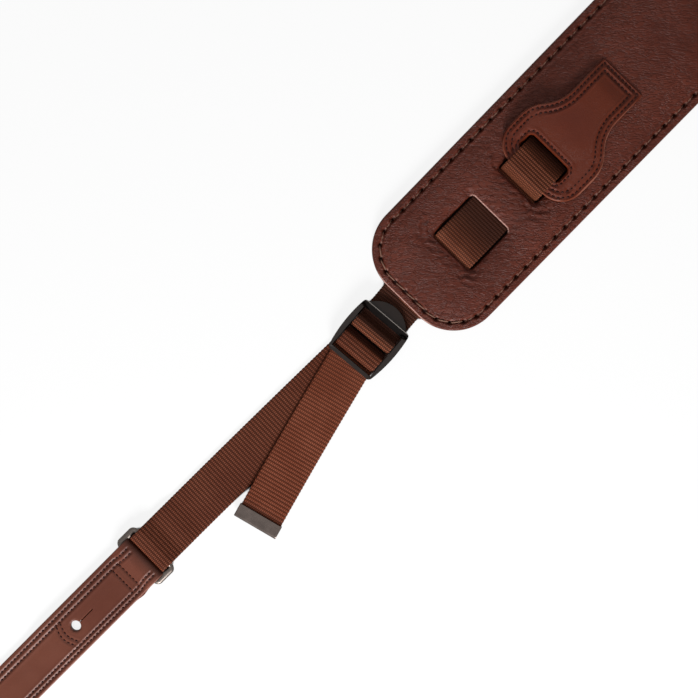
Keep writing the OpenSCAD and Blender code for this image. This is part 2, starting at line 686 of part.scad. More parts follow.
// ---------------------------------------------------------------- leather end
// Its frame: origin on the axis of the ring's far bar, -X towards the tip
end_at = ring_at + turned([-ring_pitch, 0], ring_yaw);
end_neck_w = web_w + 0.4;
tip_x = -end_l;
return_x_end = -near_hole_d - return_reach;
stack_z = end_top_t + end_lining_t;
settle_l = 18;                      // length over which the strip comes down to the table
rise_start_x = -7.2;                // where the top leather starts to rise towards the ring
ring_row_x = [-15, -9];             // the two straight rows at the ring
end_tip_r = end_w / 2 - turn_flat;

module in_end() {
    translate([end_at.x, end_at.y, 0]) rotate([0, 0, end_yaw]) children();
}

// The end's outline, from x0 with corners of radius r to past the ring's bar, where it is narrower
function end_outline(x0, r) = [
    [x0, -end_w / 2, r], [-10, -end_w / 2, 20], [-3, -end_neck_w / 2, 20], [12, -end_neck_w / 2, 0],
    [12, end_neck_w / 2, 0], [-3, end_neck_w / 2, 20], [-10, end_w / 2, 20], [x0, end_w / 2, r]];
end_corners = end_outline(tip_x, end_tip_r);

module end_holes() {
    for (x = [-near_hole_d, tip_x + tip_hole_d]) button_hole(x, 1, -cut, 10);
}

// A leather strip in the end's stack: level is its middle where all three layers lie together
module end_layer(level, t, x1) intersection() {
    plate(end_corners, -cut, 12);
    strap([[tip_x, level - end_top_t, 0], [return_x_end - settle_l, level - end_top_t, 20],
           [return_x_end - 1, level, 20], [x1, level, 0]], end_w, t);
}

module end_strap_lining() color(end_brown) in_end() difference() {
    end_layer(end_top_t + end_lining_t / 2, end_lining_t, ring_row_x[1] + thread_t);
    end_holes();
}

// One strip of leather: along the top, round the ring's bar and back underneath to a rounded end
module end_strap_top() color(end_brown) in_end() {
    turn_r = rod_r + body_gap + end_top_t / 2;
    top_level = stack_z + end_top_t / 2;
    difference() {
        intersection() {
            plate(end_corners, -cut, 12);
            strap([[tip_x, top_level - end_top_t, 0], [return_x_end - settle_l, top_level - end_top_t, 20],
                   [return_x_end - 1, top_level, 20], [rise_start_x, top_level, 6],
                   [-1.5, rod_z + turn_r, 6],
                   [leather_loop_slack + turn_r, rod_z + turn_r, turn_r - turn_flat],
                   [leather_loop_slack + turn_r, rod_z - turn_r, turn_r - turn_flat],
                   [-1.5, rod_z - turn_r, 6], [rise_start_x, end_top_t / 2, 6],
                   [return_x_end, end_top_t / 2, 0]],
                  end_w, end_top_t);
        }
        // rounds the end of the returned layer
        difference() {
            translate([return_x_end - 1, -end_w, -cut])
                cube([end_tip_r + 2, 2 * end_w, cut + end_top_t + end_lining_t / 2]);
            plate(end_outline(return_x_end, end_tip_r), -2 * cut, 12);
        }
        end_holes();
    }
}

// Two rows round the edge, two curved rows behind the hole and two straight rows at the ring
module end_strap_stitching() color(thread_brown) in_end() {
    for (e = [end_row_inset, end_row_inset + row_gap]) {
        for (side = [-1, 1])
            fine_row([[ring_row_x[0] + 3, side * (end_w / 2 - e)], [return_x_end, side * (end_w / 2 - e)]],
                     stack_z + end_top_t);
        intersection() {
            fine_row(closed(outline(inset(end_corners, e))), stack_z);
            translate([tip_x, -end_w, 0]) cube([end_l + return_x_end - settle_l, 2 * end_w, 2 * stack_z]);
        }
    }
    row_reach = end_w / 2 - end_row_inset - row_gap - 1.2;
    for (x = ring_row_x)
        fine_row([[x, -row_reach], [x, row_reach]], stack_z + end_top_t);
    arc_r = 14;
    arc_a = asin(row_reach / arc_r);
    for (x = [return_x_end + 2.5, return_x_end + 2.5 + row_gap])
        fine_row([for (i = [-5:5]) [x + arc_r * (1 - cos(i * arc_a / 5)), arc_r * sin(i * arc_a / 5)]],
                 stack_z + end_top_t);
}

pad_back_leather();
pad_foam();
pad_front_leather();
pad_edge_stitching();
pad_webbing();
pad_webbing_bend();
pad_webbing_stitching();
toggle_fold();
tongue_lining();
tongue_top();
tongue_stitching();
toggle_lining();
toggle_top();
toggle_stitching();
toggle_webbing();
buckle();
buckle_loop_webbing();
adjuster_turn();
adjuster_strand();
adjuster_ring_loop();
adjuster_stitching();
tail_strand();
tail_clip();
ring();
end_strap_lining();
end_strap_top();
end_strap_stitching();
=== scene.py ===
"""Looks of the padded leather guitar strap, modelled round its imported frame.

Lengths in the functions below are millimetres in the part's own frame, and become metres as a piece is
placed. +X runs along the strap to its rear end, and +Z is up.
"""

import json
import math

import bpy
import numpy as np
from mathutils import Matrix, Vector, noise


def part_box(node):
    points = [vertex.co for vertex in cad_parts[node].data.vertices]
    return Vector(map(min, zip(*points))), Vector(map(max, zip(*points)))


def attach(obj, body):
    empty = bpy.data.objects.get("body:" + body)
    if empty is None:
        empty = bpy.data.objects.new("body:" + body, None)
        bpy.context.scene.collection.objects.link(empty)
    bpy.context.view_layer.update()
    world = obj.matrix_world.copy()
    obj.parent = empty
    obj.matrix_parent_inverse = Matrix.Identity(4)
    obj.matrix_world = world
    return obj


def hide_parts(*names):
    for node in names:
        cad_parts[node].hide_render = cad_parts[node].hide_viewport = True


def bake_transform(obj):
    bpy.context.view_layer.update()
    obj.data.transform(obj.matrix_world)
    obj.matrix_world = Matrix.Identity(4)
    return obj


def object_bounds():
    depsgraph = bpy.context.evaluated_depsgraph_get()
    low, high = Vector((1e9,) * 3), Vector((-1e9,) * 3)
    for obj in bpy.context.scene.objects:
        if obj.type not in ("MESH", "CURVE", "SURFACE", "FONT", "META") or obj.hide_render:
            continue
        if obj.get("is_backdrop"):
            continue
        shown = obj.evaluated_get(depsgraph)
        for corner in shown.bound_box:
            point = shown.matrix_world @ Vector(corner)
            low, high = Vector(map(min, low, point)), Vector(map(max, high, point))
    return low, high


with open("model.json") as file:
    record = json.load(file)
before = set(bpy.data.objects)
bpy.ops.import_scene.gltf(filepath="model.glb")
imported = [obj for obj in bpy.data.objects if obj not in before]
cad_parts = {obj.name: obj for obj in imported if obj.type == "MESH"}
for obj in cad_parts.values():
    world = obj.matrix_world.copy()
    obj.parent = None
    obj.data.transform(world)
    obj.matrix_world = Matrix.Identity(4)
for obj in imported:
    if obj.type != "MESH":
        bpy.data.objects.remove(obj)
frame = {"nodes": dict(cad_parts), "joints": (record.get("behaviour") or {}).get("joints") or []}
cad_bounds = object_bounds()
MM = 0.001
JOINTS = {j["name"]: j for j in frame["joints"]}


def low(node):
    return np.array(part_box(node)[0]) / MM


def high(node):
    return np.array(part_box(node)[1]) / MM


def pivot(joint):
    return np.array(JOINTS[joint]["pos_m"]) / MM


# ---------------------------------------------------------------- sizes that the pieces share
WEB_W = high("pad_webbing")[1] - low("pad_webbing")[1]
LINE_Y = (high("pad_webbing")[1] + low("pad_webbing")[1]) / 2  # middle of the slots, toggle and webbing
WEB_T = 1.4
STRAP_RIB, PAD_RIB, YARN = 2.4, 2.05, 1.25  # from rib to rib of each webbing, and from yarn to yarn
LAYER_1, LAYER_2 = 0.8, 2.3  # middles of the two layers on the table
PAD_LOW, PAD_HIGH = low("pad_front_leather"), high("pad_front_leather")
FRONT_X, REAR_X, PAD_TOP = PAD_LOW[0], PAD_HIGH[0], PAD_HIGH[2]
PAD_HALF_L, PAD_HALF_W = (REAR_X - FRONT_X) / 2, PAD_HIGH[1]
CORNER_R = 31.0
SKIN_T = 1.3
RIM_Z = 5.8
SEAM_IN, SEAM_PITCH = 5.4, 8.6  # the pad's saddle stitch
SLOT_L, SLOT_R, SLOT_HALF_W = 35.4, 3.0, 16.3
SLOT_1_X = FRONT_X + 42.0
SLOT_2_X = SLOT_1_X + SLOT_L + 21.9
CHANNEL_TOP = 3.2  # of the webbing's channel behind the pad
CHANNEL_END_X, CHANNEL_WALL = SLOT_2_X + SLOT_L, 0.9
FINE_PITCH, FINE_T, FINE_L = 3.0, 0.95, 2.28  # the fine seams' stitches
ROW_GAP = 3.5
ROD_R, ROD_GAP = 1.8, 0.3  # the ring's rod, and the play of a loop round it


# ---------------------------------------------------------------- places
def place(at, yaw):
    """A function that puts points of a local frame into the part's frame, in metres."""
    c, s = math.cos(yaw), math.sin(yaw)

    def put(p):
        x, y, z = p.T
        return np.stack([at[0] + c * x - s * y, at[1] + s * x + c * y, z], 1) * MM
    return put


def taken_back(p, at, yaw):
    """Points of the part's frame, in metres, brought back into a local frame."""
    (x, y, z), c, s = p.T / MM, math.cos(yaw), math.sin(yaw)
    return c * (x - at[0]) + s * (y - at[1]), c * (y - at[1]) - s * (x - at[0]), z


def across_yaw(joint):
    axis = JOINTS[joint]["axis"]
    return math.atan2(-axis[0], axis[1])


RING_AT, END_AT = pivot("ring_swing"), pivot("leather_end_swing")
BAR_Z = RING_AT[2]
STRAND_AXIS = np.array(JOINTS["length_adjust"]["axis"])
TAIL_AXIS = -np.array(JOINTS["tail_feed"]["axis"])
STRAND_YAW = math.atan2(STRAND_AXIS[1], STRAND_AXIS[0])
TAIL_YAW = math.atan2(TAIL_AXIS[1], TAIL_AXIS[0])
STRAND_L, TAIL_L = 171.8, 120.2
BUCKLE_YAW = math.radians(4)
LOOP_BAR, HOLD_BAR, PLAIN_BAR = (-2.95, 2.95), (-18.25, -9.55), (-24.65, -22.05)  # the buckle's bars
THICK_BAR, TAB_TIP = (9.0, 13.55), 21.05
BUCKLE_AT = (FRONT_X - 6.2 - TAB_TIP, LINE_Y - 0.5)
END_YAW = across_yaw("leather_end_swing")

on_pad = place((0, 0), 0)
on_line = place((0, LINE_Y), 0)
in_buckle = place(BUCKLE_AT, BUCKLE_YAW)
TAIL_AT = in_buckle(np.array([[PLAIN_BAR[0], 0, 0]]))[0] / MM - np.array([0, 0.85, 0])
in_strand = place(RING_AT, STRAND_YAW)  # from the ring's bar towards the buckle
in_tail = place(TAIL_AT, TAIL_YAW)  # from the buckle, -X out along the tail
in_ring = place(RING_AT, across_yaw("ring_swing"))
in_end = place(END_AT, END_YAW)


# ---------------------------------------------------------------- outlines, paths and distances
def fillet(a, p, b, r, steps):
    """The arc that rounds corner p between its neighbours a and b."""
    if r < 0.01:
        return [p]
    u, w = (a - p) / np.linalg.norm(a - p), (b - p) / np.linalg.norm(b - p)
    half = math.acos(np.clip(u @ w, -1, 1)) / 2
    if abs(half - math.pi / 2) < 1e-3:
        return [p]
    centre = p + (u + w) / np.linalg.norm(u + w) * r / math.sin(half)
    start, end = p + u * r / math.tan(half) - centre, p + w * r / math.tan(half) - centre
    first = math.atan2(start[1], start[0])
    sweep = (math.atan2(end[1], end[0]) - first + 3 * math.pi) % (2 * math.pi) - math.pi
    angles = first + sweep * np.linspace(0, 1, steps + 1)
    return [centre + r * np.array([math.cos(t), math.sin(t)]) for t in angles]


def rounded(corners, closed=True, steps=10):
    """A line through (x, y, radius) corners, with its corners rounded."""
    c = [np.array(q[:2], float) for q in corners]
    n = len(c)
    line = []
    for i in range(n):
        if closed or 0 < i < n - 1:
            line += fillet(c[i - 1], c[i], c[(i + 1) % n], corners[i][2], steps)
        else:
            line.append(c[i])
    return np.array(line + line[:1] if closed else line)


def inset(corners, e):
    """A counterclockwise outline moved inwards by e."""
    n = len(corners)
    out = []
    for i in range(n):
        p = np.array(corners[i][:2], float)
        before, after = p - np.array(corners[i - 1][:2]), np.array(corners[(i + 1) % n][:2]) - p
        before, after = before / np.linalg.norm(before), after / np.linalg.norm(after)
        left_b, left_a = np.array([-before[1], before[0]]), np.array([-after[1], after[0]])
        bend = before[0] * after[1] - before[1] * after[0]
        moved = p + e * (left_b + left_a) / (1 + left_b @ left_a)
        r = corners[i][2]
        out.append((moved[0], moved[1], 0 if r < 0.01 else max(0.02, r - np.sign(bend) * e)))
    return out


def both_sides(corners):
    """The corners of a symmetric outline, from those on its low side."""
    return corners + [(x, -y, r) for x, y, r in reversed(corners)]


def rectangle(x0, x1, y0, y1, r=0.0):
    return [(x0, y0, r), (x1, y0, r), (x1, y1, r), (x0, y1, r)]


def lengths(line):
    return np.concatenate([[0], np.cumsum(np.linalg.norm(np.diff(line, axis=0), axis=1))])


def at_length(line, at):
    s = lengths(line)
    return np.stack([np.interp(at, s, line[:, k]) for k in range(2)], 1)


def even(line, step):
    """A line's points again, at even steps."""
    total = lengths(line)[-1]
    return at_length(line, np.linspace(0, total, max(2, int(round(total / step)) + 1)))


def even_path(corners, step, steps=10):
    return even(rounded(corners, closed=False, steps=steps), step)


def runs_of(line, keep):
    """The stretches of a line whose points pass a test."""
    ids = np.nonzero(keep(line[:, 0], line[:, 1]))[0]
    return [line[run] for run in np.split(ids, np.nonzero(np.diff(ids) > 1)[0] + 1) if len(run) > 6]


def along(line, pitch):
    """Points and directions at even pitch along a line, each in the middle of its step."""
    total = lengths(line)[-1]
    count = max(1, round(total / pitch))
    at = (np.arange(count) + 0.5) * total / count
    ahead = at_length(line, at + 0.3) - at_length(line, at - 0.3)
    return at_length(line, at), ahead / np.linalg.norm(ahead, axis=1)[:, None]


def distance_to(line, xy):
    """Distance of each point to a line."""
    best = np.full(len(xy), 1e9)
    for p, q in zip(line[:-1], line[1:]):
        d = q - p
        if d @ d < 1e-12:
            continue
        t = np.clip((xy - p) @ d / (d @ d), 0, 1)
        best = np.minimum(best, np.linalg.norm(xy - p - t[:, None] * d, axis=1))
    return best


def box_distance(x0, x1, y0, y1, r):
    """The signed distance to a rounded rectangle, negative inside it."""
    def distance(x, y):
        ax = np.abs(x - (x0 + x1) / 2) - (x1 - x0) / 2 + r
        ay = np.abs(y - (y0 + y1) / 2) - (y1 - y0) / 2 + r
        return np.hypot(np.maximum(ax, 0), np.maximum(ay, 0)) + np.minimum(np.maximum(ax, ay), 0) - r
    return distance


def disc_distance(cx, cy, r):
    return lambda x, y: np.hypot(x - cx, y - cy) - r


def ease(t):
    t = np.clip(t, 0, 1)
    return t * t * (3 - 2 * t)


def relief(d, height, spread, middle=0.0):
    """A soft ridge of a given height where d is near 'middle'."""
    return height * np.exp(-((d - middle) / spread) ** 2)


def round_over(d, r):
    """How far a surface has dropped at distance d from an edge that is rounded to radius r."""
    k = np.clip(r - d, 0, r)
    return r - np.sqrt(r * r - k * k)


def rough(points, size, seed=0.0, stretch=(1, 1)):
    """Smooth noise from -1 to 1, about 'size' from one bump to the next."""
    return np.array([noise.noise(Vector((p[0] / size / stretch[0], p[1] / size / stretch[1], seed)))
                     for p in points])


def cored(t, core, core_half, half):
    """Across a sheet: an even core that is core_half wide to each side, and the rest out to the edge."""
    a = np.abs(t)
    outer = core_half + (half - core_half) * (a - core) / (1 - core)
    return np.sign(t) * np.where(a <= core, core_half * a / core, outer)


def graded(marks, fine, coarse, growth=0.35):
    """Grid lines through every mark, close together near the marks and wider between them."""
    out = [marks[0]]
    for a, b in zip(marks, marks[1:]):
        t = np.linspace(a, b, 300)
        step = np.minimum(coarse, fine + growth * np.minimum(t - a, b - t))
        count = np.concatenate([[0], np.cumsum(2 * np.diff(t) / (step[1:] + step[:-1]))])
        n = max(1, int(round(count[-1])))
        out += list(np.interp(np.linspace(0, count[-1], n + 1)[1:], count, t))
    return np.array(out)


# ---------------------------------------------------------------- modelling
def deselect():
    bpy.ops.object.select_all(action="DESELECT")


def take(piece):
    deselect()
    piece.select_set(True)
    bpy.context.view_layer.objects.active = piece


def edit(piece, operator, **settings):
    """Runs one edit-mode operator on what is selected in the piece."""
    take(piece)
    bpy.ops.object.mode_set(mode="EDIT")
    operator(**settings)
    bpy.ops.object.mode_set(mode="OBJECT")


def read(items, key):
    values = np.zeros(len(items) * 3)
    items.foreach_get(key, values)
    return values.reshape(-1, 3)


def points_of(piece):
    return read(piece.data.vertices, "co")


def set_points(piece, p):
    piece.data.vertices.foreach_set("co", np.asarray(p, float).ravel())
    piece.data.update()


def select(piece, kind, chosen):
    """Selects some or all of a piece's "vertices" or "polygons", and nothing else of it."""
    bpy.context.tool_settings.mesh_select_mode = (kind == "vertices", False, kind == "polygons")
    for each in ("vertices", "edges", "polygons"):
        items = getattr(piece.data, each)
        mask = np.zeros(len(items), bool)
        if each == kind:
            mask[:] = chosen
        items.foreach_set("select", mask)


def paint(piece, *finishes):
    piece.data.materials.clear()
    for finish in finishes:
        piece.data.materials.append(finish)


def modify(piece, kind, **settings):
    take(piece)
    modifier = piece.modifiers.new("step", kind)
    for key, value in settings.items():
        setattr(modifier, key, value)
    bpy.ops.object.modifier_apply(modifier=modifier.name)


def smooth(piece, angle=40):
    take(piece)
    bpy.ops.object.shade_smooth_by_angle(angle=math.radians(angle))


def grid(name, columns, rows):
    """A flat grid piece: its points lie row by row, with columns running fastest."""
    deselect()
    bpy.ops.mesh.primitive_grid_add(x_subdivisions=columns - 1, y_subdivisions=rows - 1, size=2)
    piece = bpy.context.object
    piece.name = piece.data.name = name
    return piece


def cut_opening(piece, distance, reach=1.2, relax=5):
    """Cuts an opening out of a flat grid and brings its rim onto the opening's true outline."""
    c = read(piece.data.polygons, "center")
    select(piece, "polygons", distance(c[:, 0], c[:, 1]) < 0)
    edit(piece, bpy.ops.mesh.delete, type="FACE")
    p = points_of(piece)
    count = {}
    for f in piece.data.polygons:
        for key in f.edge_keys:
            count[key] = count.get(key, 0) + 1
    rim = np.zeros(len(p), bool)
    rim[[v for key, n in count.items() if n == 1 for v in key]] = True
    d = distance(p[:, 0], p[:, 1])
    near = rim & (np.abs(d) < reach)
    h = 0.01
    for _ in range(3):
        d = distance(p[:, 0], p[:, 1])
        gx = (distance(p[:, 0] + h, p[:, 1]) - distance(p[:, 0] - h, p[:, 1])) / (2 * h)
        gy = (distance(p[:, 0], p[:, 1] + h) - distance(p[:, 0], p[:, 1] - h)) / (2 * h)
        size = np.maximum(np.hypot(gx, gy), 0.3)
        p[near, 0] -= (d * gx / size)[near]
        p[near, 1] -= (d * gy / size)[near]
    set_points(piece, p)
    if relax:
        select(piece, "vertices", ~rim & (np.abs(d) < 2.2))
        edit(piece, bpy.ops.mesh.vertices_smooth, factor=0.5, repeat=relax)


def set_uv(piece, u, v):
    """Gives each point its own place on the flat material, in metres."""
    layer = piece.data.uv_layers.active or piece.data.uv_layers.new(name="UVMap")
    index = np.zeros(len(piece.data.loops), int)
    piece.data.loops.foreach_get("vertex_index", index)
    layer.data.foreach_set("uv", (np.stack([u[index], v[index]], 1) * MM).ravel())


def sheet(name, xs, ts, half_width, openings, top, bottom, put, material, warp=None):
    """A closed sheet of material: a grid cut to its outline and openings, then given its two faces.

    xs are stations along it and ts go from -1 to 1 across it. top and bottom give the height of its
    faces at flat points (x, y), and put brings (x, y, height) to its place.
    """
    piece = grid(name, len(xs), len(ts))
    x = np.tile(xs, len(ts))
    y = half_width(x, np.repeat(ts, len(xs)))
    if warp:
        x, y = warp(x, y)
    set_points(piece, np.stack([x, y, np.zeros_like(x)], 1))
    for distance in openings:
        cut_opening(piece, distance)
    flat = points_of(piece)
    set_uv(piece, flat[:, 0], flat[:, 1])
    count = len(flat)
    modify(piece, "SOLIDIFY", thickness=1.0, offset=-1.0)
    both = np.concatenate([flat, flat])
    both[:count, 2] = top(flat[:, 0], flat[:, 1])
    both[count:, 2] = bottom(flat[:, 0], flat[:, 1])
    set_points(piece, put(both))
    paint(piece, material)
    smooth(piece)
    return piece


def path_frame(line):
    """Turns (distance along, y, height) into (x, y, z) beside a line drawn in X and Z."""
    s = lengths(line)
    way = np.gradient(line, s, axis=0)
    way /= np.linalg.norm(way, axis=1)[:, None]

    def bend(p):
        at = [np.interp(p[:, 0], s, line[:, k]) for k in range(2)]
        dx, dz = np.interp(p[:, 0], s, way[:, 0]), np.interp(p[:, 0], s, way[:, 1])
        size = np.hypot(dx, dz)
        return np.stack([at[0] - dz / size * p[:, 2], p[:, 1], at[1] + dx / size * p[:, 2]], 1)
    return bend, s[-1]


def strap(name, corners, put, material, width=WEB_W, pitch=STRAP_RIB, rib=0.13, thickness=WEB_T,
          scallop=0.28):
    """Webbing along a path of (x, z, radius) corners, with its ribs and its scalloped selvedges."""
    bend, length = path_frame(even_path(corners, 0.4, steps=12))
    pitch = length / max(1, round(length / pitch))
    columns = int(round(length / pitch * 6)) + 1
    xs = np.linspace(0, length, columns)
    ts = np.array([-1, -0.985, -0.95, -0.9, *np.linspace(-0.82, 0.82, 15), 0.9, 0.95, 0.985, 1])
    selvedge = 0.94
    wave = lambda x: np.abs(np.sin(math.pi * x / pitch))

    def half_width(x, t):
        return t * (width / 2 - scallop + scallop * wave(x) * (np.abs(t) > selvedge))

    def thick(x, y):
        ribs = rib * (np.sqrt(wave(x)) - 0.6)
        edge = np.clip((np.abs(y) / (width / 2) - selvedge) / (1 - selvedge), 0, 1)
        return (thickness / 2 + ribs) * (1 - 0.55 * edge ** 2)
    return sheet(name, xs, ts, half_width, [], thick, lambda x, y: -thick(x, y), lambda p: put(bend(p)),
                 material)


def join(name, pieces):
    deselect()
    for p in pieces:
        p.select_set(True)
    bpy.context.view_layer.objects.active = pieces[0]
    if len(pieces) > 1:
        bpy.ops.object.join()
    pieces[0].name = pieces[0].data.name = name
    return pieces[0]


def make_stitch():
    """One stitch of thread, 1 long and 1 thick, with blunt ends: the pattern for every row."""
    deselect()
    bpy.ops.mesh.primitive_uv_sphere_add(segments=8, ring_count=6, radius=0.5, rotation=(0, math.pi / 2, 0))
    bpy.ops.object.transform_apply(rotation=True)
    one = bpy.context.object
    q = points_of(one)
    q[:, 0] = np.sign(q[:, 0]) * np.abs(2 * q[:, 0]) ** 0.6 / 2
    set_points(one, q)
    take(one)
    bpy.ops.object.shade_smooth()
    return one


def stitches(name, rows, height, put, material, pitch, size, length, slant=0.0, sink=0.35):
    """Thread along rows: one stitch is modelled, and copied from hole to hole along each row."""
    one = make_stitch()
    paint(one, material)
    q = points_of(one)
    copies = []
    for row in rows:
        at, way = along(row, pitch)
        level = height(at[:, 0], at[:, 1])
        for p, w, z in zip(at, way, level):
            turn = math.atan2(w[1], w[0]) + slant
            c, s = math.cos(turn), math.sin(turn)
            x, y = q[:, 0] * length, q[:, 1] * size
            copy = one.copy()
            copy.data = one.data.copy()
            bpy.context.scene.collection.objects.link(copy)
            drop = sink * size * 2 * (2 * q[:, 0]) ** 2
            set_points(copy, put(np.stack([p[0] + c * x - s * y, p[1] + s * x + c * y,
                                           z + q[:, 2] * size - drop], 1)))
            copies.append(copy)
    bpy.data.objects.remove(one)
    return join(name, copies)


def finish_piece(piece, body, slot, *nodes):
    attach(piece, body)
    if nodes:
        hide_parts(*nodes)


def finish_blend(piece, bodies, put, ends, *nodes):
    """Webbing that crosses a joint: hides the CAD nodes it stands for and fixes its placement."""
    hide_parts(*nodes)
    start, end = put(np.array(ends, float))
    tuple(start)
    tuple(end)
    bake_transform(piece)


def fine_seam(name, rows, height, put, body, node):
    seam = stitches(name, rows, height, put, DARK_THREAD, FINE_PITCH, FINE_T, FINE_L)
    finish_piece(seam, body, "fine_thread", node)


def pad_strap(name, path, put):
    return strap(name, path, put, PAD_WEBBING, pitch=PAD_RIB)


def store(piece, name, values):
    """Keeps a value for each point, for a material to read."""
    layer = piece.data.attributes.new(name, "FLOAT", "POINT")
    layer.data.foreach_set("value", np.asarray(values, float))


# ---------------------------------------------------------------- node helpers
def add(tree, kind, *values, **settings):
    n = tree.nodes.new("ShaderNode" + kind)
    for key, value in settings.items():
        setattr(n, key, value)
    for i, value in enumerate(values):
        if isinstance(value, bpy.types.NodeSocket):
            tree.links.new(value, n.inputs[i])
        elif value is not None:
            n.inputs[i].default_value = value
    return n


def calc(tree, operation, *values):
    return add(tree, "Math", *values, operation=operation).outputs[0]


def between(tree, value, at_0, at_1):
    return calc(tree, "MULTIPLY_ADD", value, at_1 - at_0, at_0)


def blend_colour(tree, factor, a, b):
    n = tree.nodes.new("ShaderNodeMix")
    n.data_type = "RGBA"
    for socket, value in ((n.inputs[0], factor), (n.inputs[6], a), (n.inputs[7], b)):
        if isinstance(value, bpy.types.NodeSocket):
            tree.links.new(value, socket)
        else:
            socket.default_value = value if socket.type == "VALUE" else (*value[:3], 1)
    return n.outputs[2]


def ramp(tree, value, low_at, high_at):
    n = tree.nodes.new("ShaderNodeMapRange")
    n.interpolation_type = "SMOOTHSTEP"
    tree.links.new(value, n.inputs[0])
    n.inputs[1].default_value, n.inputs[2].default_value = low_at, high_at
    return n.outputs[0]


def own_place(tree):
    return add(tree, "TexCoord").outputs["Object"]


def mask(tree, name):
    """A value that a piece keeps for each of its points."""
    return add(tree, "Attribute", attribute_name=name).outputs["Fac"]


def shade(colour, share):
    return tuple(share * c for c in colour)


def group(name, inputs, outputs):
    tree = bpy.data.node_groups.new(name, "ShaderNodeTree")
    for key, default in inputs:
        socket = tree.interface.new_socket(name=key, in_out="INPUT", socket_type="NodeSocketFloat")
        socket.default_value = default
    for key in outputs:
        tree.interface.new_socket(name=key, in_out="OUTPUT", socket_type="NodeSocketFloat")
    return tree, tree.nodes.new("NodeGroupInput"), tree.nodes.new("NodeGroupOutput")


def use(tree, effect, **values):
    n = tree.nodes.new("ShaderNodeGroup")
    n.node_tree = effect
    for key, value in values.items():
        n.inputs[key].default_value = value
    return n


# ---------------------------------------------------------------- effects that materials share
def make_grain():
    """Leather grain: long creases that run one way, a fine pebble, and a slow change of tone."""
    tree, given, out = group("leather_grain", [("Scale", 230.0), ("Turn", 0.8), ("Stretch", 3.2)],
                             ["Creases", "Pebble", "Tone"])
    where = own_place(tree)
    drift = add(tree, "VectorMath", add(tree, "TexNoise", where, None, 90.0, 2.0).outputs["Color"],
                (0.006, 0.006, 0.006), operation="MULTIPLY")
    bent = add(tree, "VectorMath", where, drift.outputs[0], operation="ADD")
    turned = add(tree, "VectorRotate", bent.outputs[0], rotation_type="Z_AXIS")
    tree.links.new(given.outputs["Turn"], turned.inputs["Angle"])
    squeeze = add(tree, "CombineXYZ", 1.0, given.outputs["Stretch"], 1.0).outputs[0]
    stretched = add(tree, "VectorMath", turned.outputs[0], squeeze, operation="MULTIPLY").outputs[0]
    fold = add(tree, "TexNoise", stretched, None, given.outputs["Scale"], 2.0, 0.5)
    valley = calc(tree, "ABSOLUTE", calc(tree, "SUBTRACT", fold.outputs[0], 0.5))
    tree.links.new(ramp(tree, valley, 0.0, 0.085), out.inputs["Creases"])
    pebble = add(tree, "TexVoronoi", stretched, None, 620.0, feature="DISTANCE_TO_EDGE")
    tree.links.new(ramp(tree, pebble.outputs["Distance"], 0.0, 0.3), out.inputs["Pebble"])
    tree.links.new(add(tree, "TexNoise", where, None, 22.0, 3.0, 0.55).outputs[0], out.inputs["Tone"])
    return tree


def make_weave():
    """Ribbed webbing: ribs across it, a row of small floats along each rib, and a slow change of tone."""
    tree, given, out = group("woven_ribs", [("Rib", 417.0), ("Yarn", 900.0)], ["Height", "Float", "Tone"])
    flat = add(tree, "SeparateXYZ", add(tree, "TexCoord").outputs["UV"])
    u = calc(tree, "MULTIPLY", flat.outputs[0], given.outputs["Rib"])
    v = calc(tree, "MULTIPLY", flat.outputs[1], given.outputs["Yarn"])
    stagger = calc(tree, "MULTIPLY", calc(tree, "FLOOR", u), 0.5)
    rib = calc(tree, "ABSOLUTE", calc(tree, "SINE", calc(tree, "MULTIPLY", u, math.pi)))
    across = calc(tree, "MULTIPLY", calc(tree, "ADD", v, stagger), math.pi)
    yarn = calc(tree, "ABSOLUTE", calc(tree, "SINE", across))
    float_top = calc(tree, "MULTIPLY", rib, between(tree, yarn, 0.1, 1.0))
    tree.links.new(float_top, out.inputs["Height"])
    tree.links.new(ramp(tree, float_top, 0.2, 0.9), out.inputs["Float"])
    where = own_place(tree)
    tree.links.new(add(tree, "TexNoise", where, None, 34.0, 3.0, 0.6).outputs[0], out.inputs["Tone"])
    return tree


def make_marks():
    """Handling marks: faint uneven patches that change the gloss."""
    tree, given, out = group("handling_marks", [("Scale", 90.0)], ["Marks"])
    patch = add(tree, "TexNoise", own_place(tree), None, given.outputs["Scale"], 4.0, 0.65)
    tree.links.new(ramp(tree, patch.outputs[0], 0.35, 0.7), out.inputs["Marks"])
    return tree


GRAIN, WEAVE, MARKS = make_grain(), make_weave(), make_marks()


# ---------------------------------------------------------------- materials
def material(name):
    m = bpy.data.materials.new(name)
    m.use_nodes = True
    return m, m.node_tree, m.node_tree.nodes["Principled BSDF"]


def surface(tree, shader, colour, roughness, height, strength, depth, specular):
    """Wires a finish: its colour, its gloss, and a relief of the given depth."""
    bump = add(tree, "Bump", strength, depth * MM)
    tree.links.new(height, bump.inputs["Height"])
    for value, key in ((colour, "Base Color"), (roughness, "Roughness"), (bump.outputs[0], "Normal")):
        tree.links.new(value, shader.inputs[key])
    shader.inputs["Specular IOR Level"].default_value = specular


